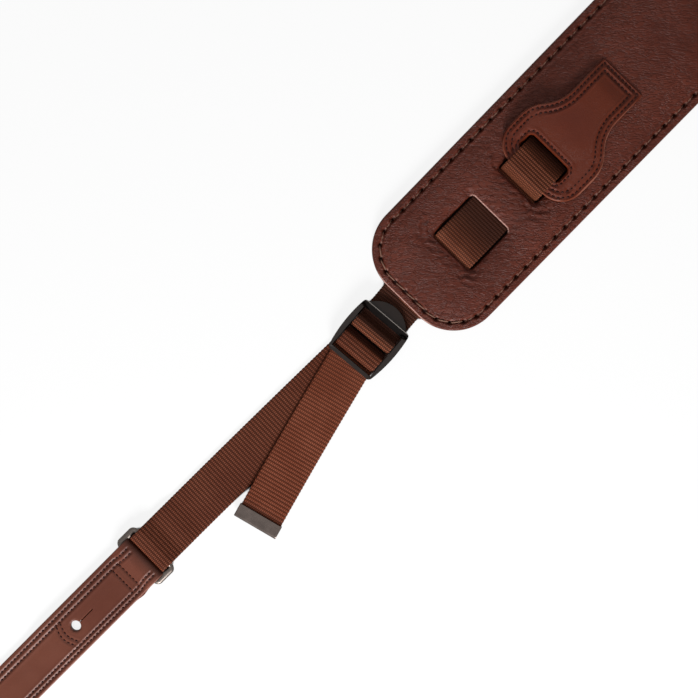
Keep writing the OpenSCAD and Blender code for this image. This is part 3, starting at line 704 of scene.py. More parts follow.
def leather(name, dark, light, roughness, scale, crease_h, specular, stretch=3.2, depth=0.5, lip=None):
    """Leather with painted shade in its creases and stitch holes, and a painted highlight as a paler tone on
    its rolled edges.
    """
    m, tree, shader = material(name)
    grain = use(tree, GRAIN, Scale=scale, Stretch=stretch)
    tone, creases = grain.outputs["Tone"], grain.outputs["Creases"]
    # painted shade: the colour darkens in the grain's creases
    painted_hollow_shade = calc(tree, "MULTIPLY_ADD", creases, -depth, depth)
    colour = blend_colour(tree, ramp(tree, tone, 0.3, 0.7), dark, light)
    colour = blend_colour(tree, painted_hollow_shade, colour, shade(dark, 0.4))
    if lip:
        # painted highlight on rolled edges, then painted shade where a piece stores its pit value: stitch
        # holes, and beside the ring
        colour = blend_colour(tree, mask(tree, "lip"), colour, lip)
        colour = blend_colour(tree, mask(tree, "pit"), colour, shade(dark, 0.12))
    gloss = between(tree, use(tree, MARKS).outputs[0], *roughness)
    uneven = between(tree, ramp(tree, tone, 0.35, 0.6), 0.4, 1.0)
    folds = calc(tree, "MULTIPLY", creases, uneven)
    height = calc(tree, "MULTIPLY_ADD", grain.outputs["Pebble"], 0.14, folds)
    surface(tree, shader, colour, gloss, height, 1.0, crease_h, specular)
    return m


def webbing(name, dark, light, rib_pitch, contrast=0.7):
    """Ribbed webbing, with painted shade between its floats and painted shadow where a piece stores it, such
    as deep in a slot.
    """
    m, tree, shader = material(name)
    weave = use(tree, WEAVE, Rib=1000.0 / rib_pitch, Yarn=1000.0 / YARN)
    floats = weave.outputs["Float"]
    colour = blend_colour(tree, ramp(tree, weave.outputs["Tone"], 0.35, 0.68), dark, light)
    # painted shade between the floats
    painted_hollow_shade = calc(tree, "MULTIPLY_ADD", floats, -contrast, contrast)
    colour = blend_colour(tree, painted_hollow_shade, colour, shade(dark, 0.2))
    # painted shadow where the piece stores it
    colour = blend_colour(tree, mask(tree, "painted_shadow"), colour, shade(dark, 0.15))
    gloss = between(tree, floats, 0.72, 0.60)
    surface(tree, shader, colour, gloss, weave.outputs["Height"], 0.9, 0.30, 0.1)
    return m


def thread(name, colour):
    m, tree, shader = material(name)
    twist = add(tree, "TexNoise", own_place(tree), None, 1600.0, 2.0).outputs[0]
    mixed = blend_colour(tree, ramp(tree, twist, 0.3, 0.7), shade(colour, 0.6), colour)
    surface(tree, shader, mixed, between(tree, twist, 0.45, 0.65), twist, 0.6, 0.1, 0.1)
    return m


def hard(name, colour, metallic, roughness, scale, depth, specular=0.5, brushed=(1, 1, 1)):
    """A moulded or metal finish, with fine scratches that run the way it was brushed."""
    m, tree, shader = material(name)
    where = add(tree, "VectorMath", own_place(tree), brushed, operation="MULTIPLY")
    fine = add(tree, "TexNoise", where.outputs[0], None, scale, 4.0, 0.6).outputs[0]
    marks = use(tree, MARKS, Scale=160.0).outputs[0]
    mixed = blend_colour(tree, marks, colour, shade(colour, 1.25))
    both = calc(tree, "MULTIPLY", calc(tree, "ADD", fine, marks), 0.5)
    surface(tree, shader, mixed, between(tree, both, *roughness), fine, 0.5, depth, specular)
    shader.inputs["Metallic"].default_value = metallic
    return m


# the last colour of each of the three leathers below is its painted highlight on rolled edges
PAD_LEATHER = leather("pad_nappa", (0.064, 0.0124, 0.0064), (0.087, 0.0190, 0.0106), (0.36, 0.47), 175.0,
                      0.27, 0.12, stretch=3.6, depth=0.34, lip=(0.46, 0.27, 0.23))
PAD_BACK = leather("pad_back_nappa", (0.060, 0.020, 0.013), (0.078, 0.026, 0.017), (0.6, 0.7), 420.0, 0.2,
                   0.2)
TOGGLE_LEATHER = leather("toggle_hide", (0.074, 0.0105, 0.0032), (0.093, 0.0155, 0.0050), (0.34, 0.42),
                         500.0, 0.04, 0.14, depth=0.12, lip=(0.26, 0.095, 0.060))
END_LEATHER = leather("end_hide", (0.076, 0.0195, 0.0106), (0.099, 0.0300, 0.0175), (0.38, 0.48), 500.0,
                      0.012, 0.14, depth=0.12, lip=(0.30, 0.13, 0.095))
WEBBING = webbing("webbing", (0.103, 0.0232, 0.0090), (0.132, 0.0345, 0.0150), STRAP_RIB, 0.78)
TAIL_WEBBING = webbing("tail_webbing", (0.150, 0.0355, 0.0148), (0.192, 0.0520, 0.0250), STRAP_RIB)
PAD_WEBBING = webbing("pad_webbing_weave", (0.135, 0.0350, 0.0148), (0.180, 0.0530, 0.0240), PAD_RIB, 0.88)
SADDLE_THREAD = thread("saddle_thread", (0.21, 0.11, 0.078))
DARK_THREAD = thread("dark_thread", (0.020, 0.0036, 0.0024))
BUCKLE_PLASTIC = hard("buckle_black", (0.0085, 0.0048, 0.0036), 0.0, (0.30, 0.44), 900.0, 0.02, 0.18)
# shaded and lit copies of the buckle's black: painted shade on the thick bar's inner slope, a painted
# highlight along its ridge
BUCKLE_PAINTED_SHADE = hard("buckle_black_painted_shade", (0.0020, 0.0012, 0.0010), 0.0, (0.45, 0.60), 900.0, 0.02, 0.06)
BUCKLE_PAINTED_HIGHLIGHT = hard("buckle_black_painted_highlight", (0.11, 0.095, 0.085), 0.0, (0.35, 0.50), 900.0, 0.02, 0.3)
RING_METAL = hard("ring_gunmetal", (0.080, 0.066, 0.058), 0.85, (0.33, 0.42), 700.0, 0.002)
CLIP_METAL = hard("clip_brushed", (0.064, 0.050, 0.044), 0.85, (0.34, 0.42), 900.0, 0.002,
                  brushed=(6, 0.4, 1))


# ---------------------------------------------------------------- shoulder pad
SLOTS = [box_distance(x, x + SLOT_L, LINE_Y - SLOT_HALF_W, LINE_Y + SLOT_HALF_W, SLOT_R)
         for x in (SLOT_1_X, SLOT_2_X)]
TOGGLE_X = SLOT_2_X + 7.9
TOGGLE_L, NECK_HALF = 85.3, 16.5
SLIT_X = TOGGLE_X + TOGGLE_L
PAD_OUTLINE = (FRONT_X, REAR_X, -PAD_HALF_W, PAD_HALF_W, CORNER_R)
pad_edge = box_distance(*PAD_OUTLINE)
SEAM = rounded(inset(rectangle(*PAD_OUTLINE), SEAM_IN), steps=24)
STITCHES_AT, STITCHES_WAY = along(SEAM, SEAM_PITCH)
HOLES = STITCHES_AT - STITCHES_WAY * SEAM_PITCH / 2  # one between each stitch and the next
CUSHION_COLUMNS, CUSHION_ROWS, CLOTH_STEPS = 150, 26, 20
SEAM_GROOVE, STITCH_PIT = (0.75, 0.9), (1.8, 1.1)  # depth and reach
PIT_RIM, PUCKER = (0.34, 0.6, 2.1), (0.22, 0.8, 1.9)  # height, reach, and distance from the middle


def turned_corners(x, y, half_l, half_w, r, to_round):
    """Moves a rectangle's points so that its corners are round, or back again."""
    ax, ay = np.abs(x) - (half_l - r), np.abs(y) - (half_w - r)
    far, near = np.maximum(ax, ay), np.minimum(ax, ay)
    if to_round:
        turn = math.pi / 4 * near / np.maximum(far, 1e-9)
        major, minor = far * np.cos(turn), far * np.sin(turn)
    else:
        major = np.hypot(ax, ay)
        minor = major * np.arctan2(near, far) * 4 / math.pi
    corner = (ax > 0) & (ay > 0)
    new_x = np.sign(x) * (half_l - r + np.where(ax >= ay, major, minor))
    new_y = np.sign(y) * (half_w - r + np.where(ax >= ay, minor, major))
    return np.where(corner, new_x, x), np.where(corner, new_y, y)


def pad_corners(x, y):
    return turned_corners(x, y, PAD_HALF_L, PAD_HALF_W, CORNER_R, True)


def slot_distance(x, y):
    return np.minimum(SLOTS[0](x, y), SLOTS[1](x, y))


def inflate_cushion():
    """Rise of the padding inside its seam, 0 to 1, as cloth that is sewn down and filled shows it."""
    half_l, half_w = PAD_HALF_L - SEAM_IN, PAD_HALF_W - SEAM_IN
    size = half_l, half_w, CORNER_R - SEAM_IN
    xs, ys = np.linspace(-half_l, half_l, CUSHION_COLUMNS), np.linspace(-half_w, half_w, CUSHION_ROWS)
    x, y = turned_corners(np.tile(xs, CUSHION_ROWS), np.repeat(ys, CUSHION_COLUMNS), *size, True)
    edge = distance_to(SEAM, np.stack([x, y], 1))
    sheet_piece = grid("cushion_cloth", CUSHION_COLUMNS, CUSHION_ROWS)
    set_points(sheet_piece, np.stack([x, y, np.zeros_like(x)], 1) * MM)
    held = (edge < 0.8) | (slot_distance(x, y) < 1.0)
    pins = sheet_piece.vertex_groups.new(name="sewn")
    pins.add(np.nonzero(held)[0].tolist(), 1.0, "REPLACE")
    cloth = sheet_piece.modifiers.new("filled", "CLOTH")
    made_of = cloth.settings
    made_of.vertex_group_mass = pins.name
    made_of.use_pressure, made_of.uniform_pressure_force, made_of.mass = True, 4.0, 0.3
    made_of.tension_stiffness = made_of.compression_stiffness = 20.0
    made_of.effector_weights.gravity = 0.0
    cloth.collision_settings.use_collision = False
    cloth.point_cache.frame_start, cloth.point_cache.frame_end = 1, CLOTH_STEPS
    for step in range(1, CLOTH_STEPS + 1):
        bpy.context.scene.frame_set(step)
    take(sheet_piece)
    bpy.ops.object.modifier_apply(modifier=cloth.name)
    height = np.abs(points_of(sheet_piece)[:, 2])
    bpy.data.objects.remove(sheet_piece)
    bpy.context.scene.frame_set(1)
    rise = np.clip(height / np.percentile(height, 60), 0, 1.12)
    rise = rise.reshape(CUSHION_ROWS, CUSHION_COLUMNS)

    def sample(px, py):
        u, v = turned_corners(px, py, *size, False)
        u = np.clip((u + half_l) / (2 * half_l), 0, 1) * (CUSHION_COLUMNS - 1)
        v = np.clip((v + half_w) / (2 * half_w), 0, 1) * (CUSHION_ROWS - 1)
        i, j = np.minimum(u.astype(int), CUSHION_COLUMNS - 2), np.minimum(v.astype(int), CUSHION_ROWS - 2)
        fu, fv = ease(u - i), ease(v - j)
        return ((1 - fu) * (1 - fv) * rise[j, i] + fu * (1 - fv) * rise[j, i + 1]
                + (1 - fu) * fv * rise[j + 1, i] + fu * fv * rise[j + 1, i + 1])
    return sample


def hole_field(xy, seam):
    """Distance of each point to the nearest stitch hole, with the holes drawn out along the seam."""
    far = np.full(len(xy), 9.0)
    close = np.nonzero(seam < 3)[0]
    ahead = np.roll(HOLES, -1, axis=0) - np.roll(HOLES, 1, axis=0)
    ahead /= np.linalg.norm(ahead, axis=1)[:, None]
    for i in close:
        gap = xy[i] - HOLES
        k = int(np.argmin(np.einsum("ij,ij->i", gap, gap)))
        far[i] = math.hypot(gap[k] @ ahead[k] / 1.35, gap[k][0] * ahead[k][1] - gap[k][1] * ahead[k][0])
    return far


def make_pad_skin():
    """The height of the pad's front leather."""
    cushion = inflate_cushion()
    corners = [(x, LINE_Y + side * SLOT_HALF_W) for x in (SLOT_1_X, SLOT_2_X) for side in (-1, 1)]

    def skin(x, y):
        xy = np.stack([x, y], 1)
        d = -pad_edge(x, y)
        ds = np.maximum(slot_distance(x, y), 0)
        inner = ease((d - SEAM_IN) / 5)
        z = RIM_Z + (PAD_TOP - RIM_Z) * cushion(x, y) * (d > SEAM_IN)
        seam = distance_to(SEAM, xy)
        pit = hole_field(xy, seam)
        z -= relief(seam, *SEAM_GROOVE) + relief(pit, *STITCH_PIT)
        z += relief(pit, *PIT_RIM) * (seam < 3.5)
        z -= round_over(d, 1.5) + 0.8 * np.exp(-ds / 3.4) * (ds < 20) + round_over(ds, 1.1)
        z += relief(seam, *PUCKER) * (1 - relief(pit, 1, 3.0))
        # creases in the grain's direction, and arcs round the front corners of each slot
        skew = np.stack([x - y, x + y], 1) * math.sqrt(0.5)
        calm = ease(ds / 2) * inner
        z += relief(ds, 0.42, 16) * calm * rough(skew, 2.3, 3.0, (3.6, 1))
        z += 0.15 * calm * rough(skew, 2.1, 9.0, (4.0, 1))
        for cx, cy in corners:
            reach = np.hypot(x - cx - 3, (y - cy) * 0.8)
            arc = rough(np.stack([reach, 6 * np.arctan2(y - cy, x - cx - 3)], 1), 2.2, 5.0, (1, 2.4))
            z += relief(reach, 0.55, 5, 7) * calm * arc * (x < cx + 6)
        z += inner * (0.36 * rough(xy, 24.0, 4.0) + 0.20 * rough(skew, 7.0, 12.0, (2.2, 1)))
        return z + 0.12 * rough(xy, 5.0, 14.0) * (1 - inner)
    return skin


def channel(x, y):
    """1 inside the webbing's channel behind the pad, 0 outside it."""
    side = ease((SLOT_HALF_W + CHANNEL_WALL - np.abs(y - LINE_Y)) / CHANNEL_WALL)
    return side * ease((CHANNEL_END_X + CHANNEL_WALL - x) / CHANNEL_WALL)


def pad_underside(x, y):
    return SKIN_T + 0.05 + CHANNEL_TOP * channel(x, y)


def lip_tone(piece, distances, reach, turn=0.1, fade=0.6):
    """How close each point is to a rolled edge that faces the front, towards the key lamp, for a painted
    highlight in the leather's tone there.
    """
    p = points_of(piece) / MM
    h = 0.05
    tone = np.zeros(len(p))
    for distance in distances:
        d = np.abs(distance(p[:, 0], p[:, 1]))
        faces = (np.abs(distance(p[:, 0] - h, p[:, 1])) - d) / h
        tone = np.maximum(tone, ease((reach - d) / (0.6 * reach)) * ease((faces + turn) / -fade))
    return tone


def pad_sheet(name, xs, ys, top, bottom, finish):
    return sheet(name, xs, ys / PAD_HALF_W, lambda x, t: t * PAD_HALF_W, SLOTS, top, bottom, on_pad, finish,
                 warp=pad_corners)


def make_pad():
    slot_ends = [SLOT_1_X, SLOT_1_X + SLOT_L, SLOT_2_X, SLOT_2_X + SLOT_L]
    slot_sides = [LINE_Y - SLOT_HALF_W, LINE_Y + SLOT_HALF_W]
    seam_x, seam_y = REAR_X - SEAM_IN, PAD_HALF_W - SEAM_IN
    xs = graded([FRONT_X, FRONT_X + SEAM_IN, *slot_ends, SLIT_X, seam_x, REAR_X], 0.42, 0.8, 0.04)
    ys = graded([-PAD_HALF_W, -seam_y, *slot_sides, seam_y, PAD_HALF_W], 0.42, 0.8, 0.06)
    body = pad_sheet("pad_front", xs, ys, make_pad_skin(), pad_underside, PAD_LEATHER)
    xy = points_of(body)[:, :2] / MM
    seam_d = distance_to(SEAM, xy)
    # painted highlights: on each stitch hole's wall that faces the key lamp, and on the slots' and front
    # end's rolled edges that face it
    hole_highlight = relief(hole_field(xy - np.array([1.25, 0.1]), seam_d), 0.5, 0.5)
    slot_lips, rim_lip = lip_tone(body, SLOTS, 1.0), lip_tone(body, [pad_edge], 0.9, 0.93, 0.06)
    store(body, "lip", np.maximum.reduce([slot_lips, rim_lip, hole_highlight]))
    # painted shade in the stitch holes, a little to the front of each
    store(body, "pit", relief(hole_field(xy + np.array([0.3, 0.0]), seam_d), 1.0, 1.0))
    finish_piece(body, "pad", "pad_leather", "pad_front_leather", "pad_foam")

    xs = graded([FRONT_X, *slot_ends, REAR_X], 0.5, 5.0)
    walls = [slot_sides[0] - CHANNEL_WALL, *slot_sides, slot_sides[1] + CHANNEL_WALL]
    ys = graded([-PAD_HALF_W, *walls, PAD_HALF_W], 0.45, 5.0)
    back = pad_sheet("pad_back", xs, ys,
                     lambda x, y: SKIN_T + CHANNEL_TOP * channel(x, y) - round_over(-pad_edge(x, y), 0.3),
                     lambda x, y: CHANNEL_TOP * channel(x, y) + round_over(-pad_edge(x, y), 0.5), PAD_BACK)
    finish_piece(back, "pad", "pad_leather", "pad_back_leather")

    seam = stitches("pad_saddle_thread", [SEAM],
                    lambda x, y: np.where(x < FRONT_X + 16, RIM_Z + 0.05, RIM_Z - 0.6), on_pad, SADDLE_THREAD,
                    SEAM_PITCH, 0.9, SEAM_PITCH * 0.9, slant=0.09, sink=0.6)
    finish_piece(seam, "pad", "edge_thread", "pad_edge_stitching")


# ---------------------------------------------------------------- toggle and its webbing
HEAD_X, NECK_X, LEAN = TOGGLE_X + 35, TOGGLE_X + 50, 2.0
HEAD_LOW, HEAD_HIGH = (-60.4 - LEAN) / 2, (60.4 - LEAN) / 2
TOGGLE_CORNERS = [
    (TOGGLE_X, HEAD_LOW, 16), (HEAD_X + LEAN, HEAD_LOW, 24), (NECK_X + LEAN, -NECK_HALF, 26),
    (SLIT_X, -NECK_HALF, 1), (SLIT_X, NECK_HALF, 1), (NECK_X - LEAN, NECK_HALF, 26),
    (HEAD_X - LEAN, HEAD_HIGH, 24), (TOGGLE_X, HEAD_HIGH, 16)]
WINDOW_X = (TOGGLE_X + 10, TOGGLE_X + 21.9)
WINDOW, ROW_IN = (*WINDOW_X, -SLOT_HALF_W, SLOT_HALF_W, 3), 2.3
TOGGLE_OUTLINE = rounded(TOGGLE_CORNERS, steps=14)
TOGGLE_ROWS = [rounded(inset(TOGGLE_CORNERS, e), steps=14) for e in (ROW_IN, ROW_IN + ROW_GAP)]
TOGGLE_ROWS.append(rounded(inset(rectangle(*WINDOW), -ROW_IN)))
toggle_window = box_distance(*WINDOW)
TOGGLE_LOW, TOGGLE_TOP = low("toggle_lining")[2] + 3.0, high("toggle_top")[2]


def stitch_groove(r, ridge=0.24):
    """Depth of the leather at distance r from a row of stitches: a groove between two soft ridges."""
    return relief(r, 0.5, 0.7) - relief(r, ridge, 0.6, 1.6)


def toggle_arch(x):
    """How far the toggle stands off the pad along its length."""
    t = (x - TOGGLE_X) / TOGGLE_L
    return 2.1 * np.sin(math.pi * np.clip((t - 0.15) / 0.85, 0, 1)) ** 0.8 - 2.2 * ease((t - 0.8) / 0.2)


def toggle_edge(x, y):
    """Distance to the toggle's outline or its window, whichever is nearer."""
    return np.minimum(distance_to(TOGGLE_OUTLINE, np.stack([x, y], 1)), np.maximum(toggle_window(x, y), 0))


def toggle_face(x, y):
    xy = np.stack([x, y], 1)
    z = TOGGLE_TOP + toggle_arch(x) - round_over(toggle_edge(x, y), 1.4)
    for row in TOGGLE_ROWS:
        z -= stitch_groove(distance_to(row, xy))
    return z + 0.12 * rough(xy, 12.0, 21.0)


def strap_clear(x, y):
    """Where the webbing that goes round the toggle doesn't cover it."""
    return ~((np.abs(y) < WEB_W / 2 + 1) & (x < WINDOW_X[0] + 8))


def edge_of(outline, side):
    """How far an outline reaches to one side at each station along it."""
    line = even(outline, 0.25)
    line = line[side * line[:, 1] > 0]
    line = line[np.lexsort((side * line[:, 1], line[:, 0]))]
    keep = np.append(np.diff(line[:, 0]) > 1e-3, True)
    return lambda x: np.interp(x, line[keep, 0], np.abs(line[keep, 1]))


def make_toggle():
    upper, lower = edge_of(TOGGLE_OUTLINE, 1), edge_of(TOGGLE_OUTLINE, -1)
    inner = SLOT_HALF_W / 22.0

    def half_width(x, t):
        h = np.where(t > 0, upper(x), lower(x))
        return cored(t, inner, np.minimum(SLOT_HALF_W, h * 0.72), h)
    xs = graded([TOGGLE_X, *WINDOW_X, SLIT_X], 0.3, 0.62)
    ts = np.concatenate([graded([-1, -inner], 0.014, 0.034), graded([-inner, inner], 0.016, 0.034)[1:],
                         graded([inner, 1], 0.014, 0.034)[1:]])
    body = sheet("toggle_tab", xs, ts, half_width, [toggle_window], toggle_face,
                 lambda x, y: TOGGLE_LOW + toggle_arch(x) + round_over(toggle_edge(x, y), 0.5), on_line,
                 TOGGLE_LEATHER)
    x, y, z = taken_back(points_of(body), (0, LINE_Y), 0)
    d = distance_to(TOGGLE_OUTLINE, np.stack([x, y], 1))
    # painted highlight on the toggle's rolled edges, stronger along its low side, which faces the key lamp
    lit = ease((0.75 - d) / 0.5) * ease(z - TOGGLE_TOP + 1.6)
    low_side = (y < 0) & (x > WINDOW_X[0] - 4) & (x < NECK_X + 4)
    store(body, "lip", lit * (0.45 + 0.55 * low_side))
    finish_piece(body, "toggle", "toggle_leather", "toggle_top", "toggle_lining")
    rows = []
    for row in TOGGLE_ROWS:
        # a row starts where the webbing covers it, so that each run on either side stays whole
        row = np.roll(row[:-1], -int(np.argmin(strap_clear(row[:, 0], row[:, 1]))), axis=0)
        rows += runs_of(even(np.concatenate([row, row[:1]]), 0.5), strap_clear)
    fine_seam("toggle_thread", rows, lambda x, y: TOGGLE_TOP + toggle_arch(x) - 0.12, on_line, "toggle",
              "toggle_stitching")


def make_pad_webbing():
    x = SLOT_1_X
    path = [(FRONT_X - 1, LAYER_2, 0), (x - 1, LAYER_2, 3), (x + 5.5, 6.9, 7), (x + 14, 6.3, 25),
            (x + SLOT_L + 1, LAYER_2, 9), (SLOT_2_X - 2, LAYER_2, 0)]
    run = pad_strap("pad_webbing_run", path, on_line)
    # painted shadow on the webbing as it runs on under the slot's rear edge
    store(run, "painted_shadow", 0.82 * ease((points_of(run)[:, 0] / MM - SLOT_1_X - 4) / 24))
    finish_piece(run, "pad", "webbing", "pad_webbing")
    x = SLOT_2_X
    for name, stations in (("pad_webbing_return", (x - 20, x - 8, x + 8.7)),
                           ("pad_webbing_front_end", (FRONT_X - 1, FRONT_X + 9, FRONT_X + 20))):
        finish_piece(pad_strap(name, [(at, LAYER_1, 0) for at in stations], on_line), "pad", "webbing")
    over_z, down_x = TOGGLE_TOP + 1.0, WINDOW_X[1] - 0.8
    path = [(x - 2.2, LAYER_2, 0), (x + 2.6, LAYER_2, 2), (x + 4.0, 9.0, 5), (x + 7.0, over_z + 0.6, 4),
            (WINDOW_X[0] + 1.5, over_z - 0.1, 5), (down_x, 5.5, 4), (down_x, LAYER_1, 2.5),
            (x + 9, LAYER_1, 0)]
    loop = pad_strap("toggle_webbing_loop", path, on_line)
    # painted shadow inside the toggle's window, towards its rear edge
    store(loop, "painted_shadow", 0.8 * ease((points_of(loop)[:, 0] / MM - WINDOW_X[0] - 2) / 8))
    finish_blend(loop, ("pad", "toggle"), on_line, [(x + 3.4, 0, 9.0), (x + 7.0, 0, 9.0)], "toggle_webbing",
                 "toggle_fold")


# ---------------------------------------------------------------- rear tongue
TONGUE_L = high("tongue_top")[0] - REAR_X
TONGUE_END = REAR_X + TONGUE_L
TONGUE_START, TONGUE_WAIST = REAR_X - 40, REAR_X + TONGUE_L * 0.55
BUTTON_R, SLIT_L, SLIT_W = 3.35, 12.0, 0.16
TONGUE_CORNERS = both_sides([(TONGUE_START, -26, 0), (REAR_X + 8, -26, 30), (TONGUE_WAIST, -17, 60),
                             (TONGUE_END, -17, 16.9)])


def outline_half_width(corners):
    """The half width of a symmetric outline at each station along it."""
    line = even(rounded(corners, steps=24), 0.3)
    line = line[line[:, 1] >= 0]
    line = line[np.argsort(line[:, 0])]
    x, y = line[:, 0], line[:, 1]
    keep = [0]
    for i in range(1, len(x)):
        if x[i] > x[keep[-1]] + 1e-4:
            keep.append(i)
    return lambda at: np.interp(at, x[keep], y[keep])


def button_hole(x, way):
    """The round hole and the slit beside it, which runs towards 'way'."""
    slit = box_distance(*sorted((x, x + way * (BUTTON_R + SLIT_L))), -SLIT_W / 2, SLIT_W / 2, 0.0)
    return [slit, disc_distance(x, 0, BUTTON_R)]


def leather_strip(name, corners, xs, openings, rows, top_h, bottom_h, put, soft=0.7, insets=()):
    """A flat leather strip with rounded edges and grooves under its stitch rows."""
    half = outline_half_width(corners)
    outline = rounded(corners, steps=20)
    core = SLIT_W / 2 / END_HALF
    side = sorted({core, 1.0, *[1 - e / END_HALF for e in insets]})
    ts = graded([-t for t in reversed(side)] + side, 0.022, 0.055, 0.12)

    def face(x, y):
        xy = np.stack([x, y], 1)
        d = distance_to(outline, xy)
        for opening in openings:
            d = np.minimum(d, np.maximum(opening(x, y), 0) * 1.6)
        z = top_h - round_over(d, soft)
        for row in rows:
            z -= stitch_groove(distance_to(row, xy), 0.12)
        return z + 0.08 * rough(xy, 15.0, 31.0)
    return sheet(name, xs, ts, lambda x, t: cored(t, core, SLIT_W / 2, half(x)), openings, face,
                 lambda x, y: bottom_h + round_over(distance_to(outline, np.stack([x, y], 1)), 0.4), put,
                 END_LEATHER)


def make_tongue():
    rows = [rounded(inset(TONGUE_CORNERS, e), steps=24) for e in (3.5, 3.5 + ROW_GAP)]
    hole_x = TONGUE_END - 20
    bend, _ = path_frame(even_path([(TONGUE_START, 2.6, 0), (REAR_X + 2, 2.6, 20), (REAR_X + 18, 1.35, 20),
                                    (TONGUE_END, 1.35, 0)], 0.5))
    shift = lambda p: on_pad(bend(p - np.array([TONGUE_START, 0, 0])))
    xs = graded([REAR_X - 8, hole_x - BUTTON_R - SLIT_L, hole_x, TONGUE_END - 4, TONGUE_END], 0.35, 0.9)
    top = leather_strip("tongue_leathers", TONGUE_CORNERS, xs, button_hole(hole_x, -1), rows, 1.25, -1.25,
                        shift)
    finish_piece(top, "pad", "end_leather", "tongue_top", "tongue_lining")
    seen = [run for row in rows for run in runs_of(even(row, 0.5), lambda x, y: x > REAR_X + 3)]
    fine_seam("tongue_thread", seen, lambda x, y: np.full(len(x), 1.03), shift, "pad", "tongue_stitching")


# ---------------------------------------------------------------- leather end
END_L, END_HALF, NECK_IN, TIP_R = 177.0, 16.2, 1.0, 16.1
NEAR_HOLE, TIP_HOLE = -57.5, -END_L + 18.0
TOP_T, LINING_T = 1.4, 1.2
STACK = TOP_T + LINING_T
RETURN_X = NEAR_HOLE - 14.5
HIGH_ROWS, LOW_ROWS = (3.6, 7.2), (2.8, 5.6)  # of the side rows, from each edge
ROWS_END = (4.0, 3.4)  # where the side rows stop by the ring
RETURN_BUMP = (-12.5, 4.0, 0.9)  # the returned layer's corner: x, spread, reach
ROW_BOW = 14.0  # radius of the curved rows across


def ring_loop(thickness):
    """Heights of a loop's runs over and under a rod of the ring, and the radius of its turn."""
    reach = ROD_R + ROD_GAP + thickness / 2
    return BAR_Z + reach, BAR_Z - reach, reach - 0.05


def end_rows():
    """The two rows along the edges and round the tip, and the rows across."""
    rows = []
    corners = both_sides([(-END_L, -END_HALF, TIP_R), (-10, -END_HALF, 20), (-3, NECK_IN - END_HALF, 20),
                          (12, NECK_IN - END_HALF, 0)])
    for high_in, low_in, stop in zip(HIGH_ROWS, LOW_ROWS, ROWS_END):
        row = even(rounded(inset(corners, (high_in + low_in) / 2), steps=24), 0.4)
        rows += runs_of(row + np.array([0, (low_in - high_in) / 2]), lambda x, y: x < stop)
    reach = END_HALF - max(HIGH_ROWS) - 0.6
    rows += [np.array([(x, -reach - 1), (x, 0), (x, reach)]) for x in (-15.0, -9.0)]
    a = np.linspace(-1, 1, 15) * math.asin(reach / ROW_BOW)
    return rows + [np.stack([x + ROW_BOW * (1 - np.cos(a)), ROW_BOW * np.sin(a)], 1)
                   for x in (RETURN_X + 2.5, RETURN_X + 2.5 + ROW_GAP)]


def make_leather_end():
    top_z, lining_z = STACK + TOP_T / 2, TOP_T + LINING_T / 2
    over, under, r = ring_loop(TOP_T)
    tip, loop_x = -END_L, 4.0 + (over - under) / 2
    rows = end_rows()
    step_up = lambda z: [(tip, z - TOP_T, 0), (RETURN_X - 18, z - TOP_T, 60), (RETURN_X - 1, z, 60)]
    bend, total = path_frame(even_path([
        *step_up(top_z), (-8.3, top_z, 9), (-1.5, over, 6), (loop_x, over, r), (loop_x, under, r),
        (-1.5, under, 6), (-8.3, TOP_T / 2, 9), (RETURN_X, TOP_T / 2, 0)], 0.4, steps=14))

    def flat(p):
        # the returned layer stands out at one corner past the layers above it
        q = bend(p - np.array([tip, 0, 0]))
        x, spread, out = RETURN_BUMP
        loose = (p[:, 0] > loop_x + 2) & (p[:, 1] < -END_HALF + 2)
        q[:, 1] -= relief(q[:, 0], out, spread, x) * loose
        return in_end(q)
    # flat stations: the top run keeps its own x, and the returned layer follows it past the loop
    end_x = tip + total
    back = end_x - (NEAR_HOLE - RETURN_X)
    corners = both_sides([(tip, -END_HALF, TIP_R), (end_x, -END_HALF, 15)])
    holes = button_hole(NEAR_HOLE, 1) + button_hole(TIP_HOLE, 1)
    xs = graded([tip, tip + 4, TIP_HOLE, NEAR_HOLE, NEAR_HOLE + BUTTON_R + SLIT_L, back - BUTTON_R - SLIT_L,
                 back, end_x - 3, end_x], 0.35, 0.8)
    top = leather_strip("end_leather_top", corners, xs, holes + button_hole(back, -1), rows, TOP_T / 2,
                        -TOP_T / 2, flat, insets=HIGH_ROWS + LOW_ROWS)
    u, v, z = taken_back(points_of(top), END_AT, END_YAW)
    slit_x = NEAR_HOLE + BUTTON_R + SLIT_L / 2
    slit = np.maximum(np.abs(u - slit_x) - SLIT_L / 2 - 0.2, np.abs(v - 0.3) - 0.25)
    # painted highlight along the slit's lip and along the low edge, which faces the key lamp
    below = ease((0.6 - END_HALF - v) / 0.5 + 0.4)
    store(top, "lip", np.maximum(0.55 * ease(-slit / 0.2) * (z > STACK), 0.35 * below * (z > TOP_T)))
    # painted shadow on the top leather, growing towards its loop round the ring
    shaded = 0.5 * np.exp(-np.maximum(loop_x - 2.6 - u, 0) / 2.2)
    store(top, "pit", shaded * (u < loop_x + 3) * (z > STACK))
    finish_piece(top, "leather_end", "end_leather", "end_strap_top")

    bend_lining, total = path_frame(even_path([*step_up(lining_z), (-8.4, lining_z, 0)], 0.5))
    half, end_x = END_HALF - 0.1, tip + total
    xs = graded([tip, TIP_HOLE, NEAR_HOLE, end_x], 0.4, 1.4)
    corners = both_sides([(tip, -half, 16), (end_x, -half, 1)])
    lining = leather_strip("end_leather_lining", corners, xs, holes, [], LINING_T / 2, -LINING_T / 2,
                           lambda p: in_end(bend_lining(p - np.array([tip, 0, 0]))), soft=0.4)
    finish_piece(lining, "leather_end", "end_leather", "end_strap_lining")
    fine_seam("end_thread", rows, lambda x, y: np.full(len(x), TOP_T / 2 - 0.22), flat, "leather_end",
              "end_strap_stitching")


